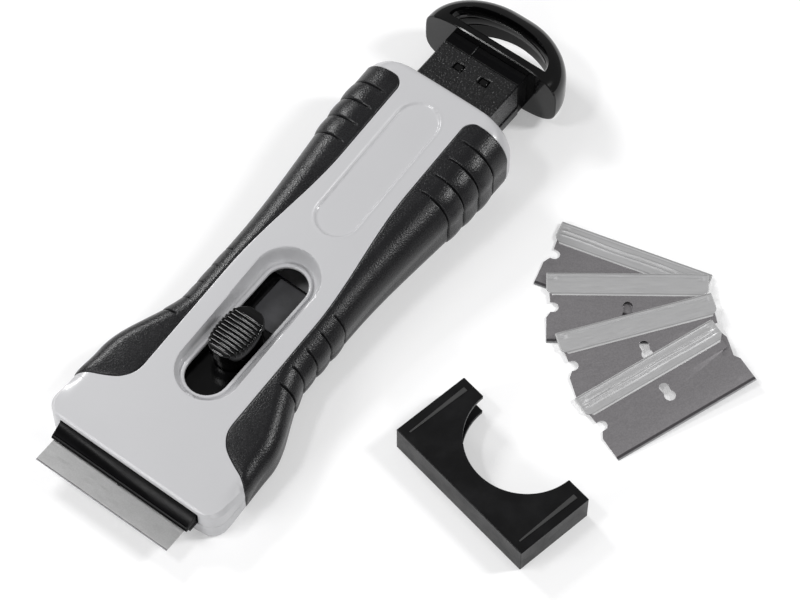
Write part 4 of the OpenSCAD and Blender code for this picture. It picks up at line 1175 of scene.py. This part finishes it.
def foldMesh(name, material, crimped):
    f, thick, end = fold, blade["t"], blade["l"] / 2
    y0, y1, mid, r = blade["w"] - f["w"], blade["w"], thick / 2, f["t"] / 2 - f["sheet"]
    start, length = f["fade"]
    ys = np.linspace(y0, y1 - f["round"], 44)
    bow = [(y1 - f["round"] * (1 - math.cos(t)), mid + r * math.sin(t))
           for t in np.linspace(math.pi / 2, -math.pi / 2, 11)[1:-1]]
    rows = []
    for x in np.linspace(-end, end, 66):
        u = ys - (y0 + y1) / 2 - f["wave"][0] * math.sin(x * f["wave"][1])
        shape = sum(high * np.exp(-((u - at) / w) ** power) for high, at, w, power in pressed[crimped])
        shape = shape + sum(high * np.exp(-((ys - y1 + at) / w) ** 2) for high, at, w in edged[crimped])
        shape = shape - f["dent"] * np.exp(-(abs(x) - end + 1.5) ** 2 / 0.3 - ((ys - y1 + 1.6) / 0.5) ** 2)
        lip = f["lip"][0] * (1 - smooth((ys - y0) / f["lip"][1]))
        fade = float(smooth((end - abs(x) - start) / length))
        zTop = np.minimum(mid + r - lip * 0.5 + shape * fade, mid + r + f["sheet"])
        section = list(zip(ys, zTop)) + bow + [(y, 2 * mid - z) for y, z in zip(ys[::-1], zTop[::-1])]
        section += [(y0, 0.0), (y1 - 0.3, 0.0), (y1 - 0.3, thick), (y0, thick)]
        rows.append([(x, y, z) for y, z in section])
    obj = skin(name, np.array(rows), material, 40.0)
    half, c = end + 0.1, f["clip"]
    right = [(half - c, y0 - 0.1), (half, y0 + c), (half, y1 - 0.5), (half - 0.5, y1 + 0.1)]
    plan = right + [(-x, y) for x, y in reversed(right)]
    return paint(combine(obj, prism(plan, -2, 2), "INTERSECT"), material, 40.0)


def makeBlades():
    first = Matrix.Translation(Vector(blade["place"]) * mm)
    places = [("scraper_blade", "scraper_blade_back", "carriage", first, 0.0, False)]
    for k, (x, y, turn, z, tiltX, tiltY) in enumerate(spares, 1):
        t = fold["t"]
        place = (Matrix.Translation((x * mm, y * mm, z * t * mm)) @ turned(turn, "Z") @ turned(tiltY * t, "Y")
                 @ turned(tiltX * t, "X") @ Matrix.Translation((0, -blade["w"] / 2 * mm, 0)))
        crimped = k in crimpedSpares
        places.append((f"spare_blade_{k}", f"spare_blade_back_{k}", f"spare_{k}", place, turn, crimped))
    for steelNode, backNode, body, place, turn, crimped in places:
        corner = place.translation / mm
        steel = bladeSteel(steelNode + "Steel", corner, (0, 0, turn), body == "carriage")
        strip = bladeMesh(steelNode + "Looks", steel)
        back = foldMesh(backNode + "Looks", backMetal(backNode + "Metal", corner, (0, 0, turn)), crimped)
        for obj, node, slotName in ((strip, steelNode, "blade_steel"), (back, backNode, "back_metal")):
            obj.data.transform(place)
            stands(obj, node, body)


makeBlades()


# CAD nodes that stay as they are

def dress(node, material):
    mesh = frame["nodes"][node].data
    mesh.materials.clear()
    mesh.materials.append(material)


dress("clamp_pin", zincMat)
dress("lock_spring", springMat)
print("nodes dressed")


# floor and light

stage = {
    "white": 0.25, "glow": 1.1, "floor": (0.985, 0.985, 0.99, 1.0), "half": 1500, "z": -0.02, "world": 0.25}


def makeStage():
    m = Mat("floorPaper")
    m.set("Base Color", stage["floor"])
    m.set("Roughness", 0.9)
    m.set("Specular IOR Level", 0.2)
    path = m.tree.nodes.new("ShaderNodeLightPath")
    direct, glossy, through = [Sock(m.tree, path.outputs[f"Is {kind} Ray"])
                               for kind in ("Camera", "Glossy", "Transmission")]
    glow = m.node("Emission", None, {"Color": (1, 1, 1, 1), "Strength": stage["glow"]})
    plain = Sock(m.tree, m.shader.outputs[0])
    white = (direct + glossy + through).clamped() * stage["white"]
    mix = m.node("MixShader", None, {0: white, 1: plain, 2: glow})
    plug(m.tree, m.tree.nodes["Material Output"].inputs["Surface"], mix)
    half, z = stage["half"], stage["z"]
    floor = meshObject("floor", [(-half, -half, z), (half, -half, z), (half, half, z), (-half, half, z)],
                       [(0, 1, 2, 3)], m.mat)


lamps = [  # name, place, size, power, what it points at
    ("keyLamp", (-470, 110, 390), (150, 140), 1.75, (10, 10, 5)),
    ("sideLamp", (385, 305, 470), (95, 160), 1.8, (20, 10, 0)),
    ("frontLamp", (-200, -240, 590), (130, 60), 0.72, (10, -10, 0)),
    ("lowLamp", (-150, -430, 265), (220, 65), 0.9, (10, 0, 0)),
    ("cornerLamp", (400, -370, 300), (110, 75), 0.45, (20, -20, 0)),
]


def makeLights():
    for name, place, size, power, target in lamps:
        data = bpy.data.lights.new(name, "AREA")
        data.shape, data.size, data.size_y, data.energy = "RECTANGLE", size[0] * mm, size[1] * mm, power
        obj = linked(name, data)
        obj.location = Vector(place) * mm
        obj.rotation_euler = (Vector(target) - Vector(place)).to_track_quat("-Z", "Y").to_euler()
    world = bpy.data.worlds.new("studio")
    scene.world = world
    world.use_nodes = True
    back = world.node_tree.nodes["Background"]
    back.inputs[0].default_value = (1, 1, 1, 1)
    back.inputs[1].default_value = stage["world"]


makeStage()
makeLights()
print("stage and lights made")
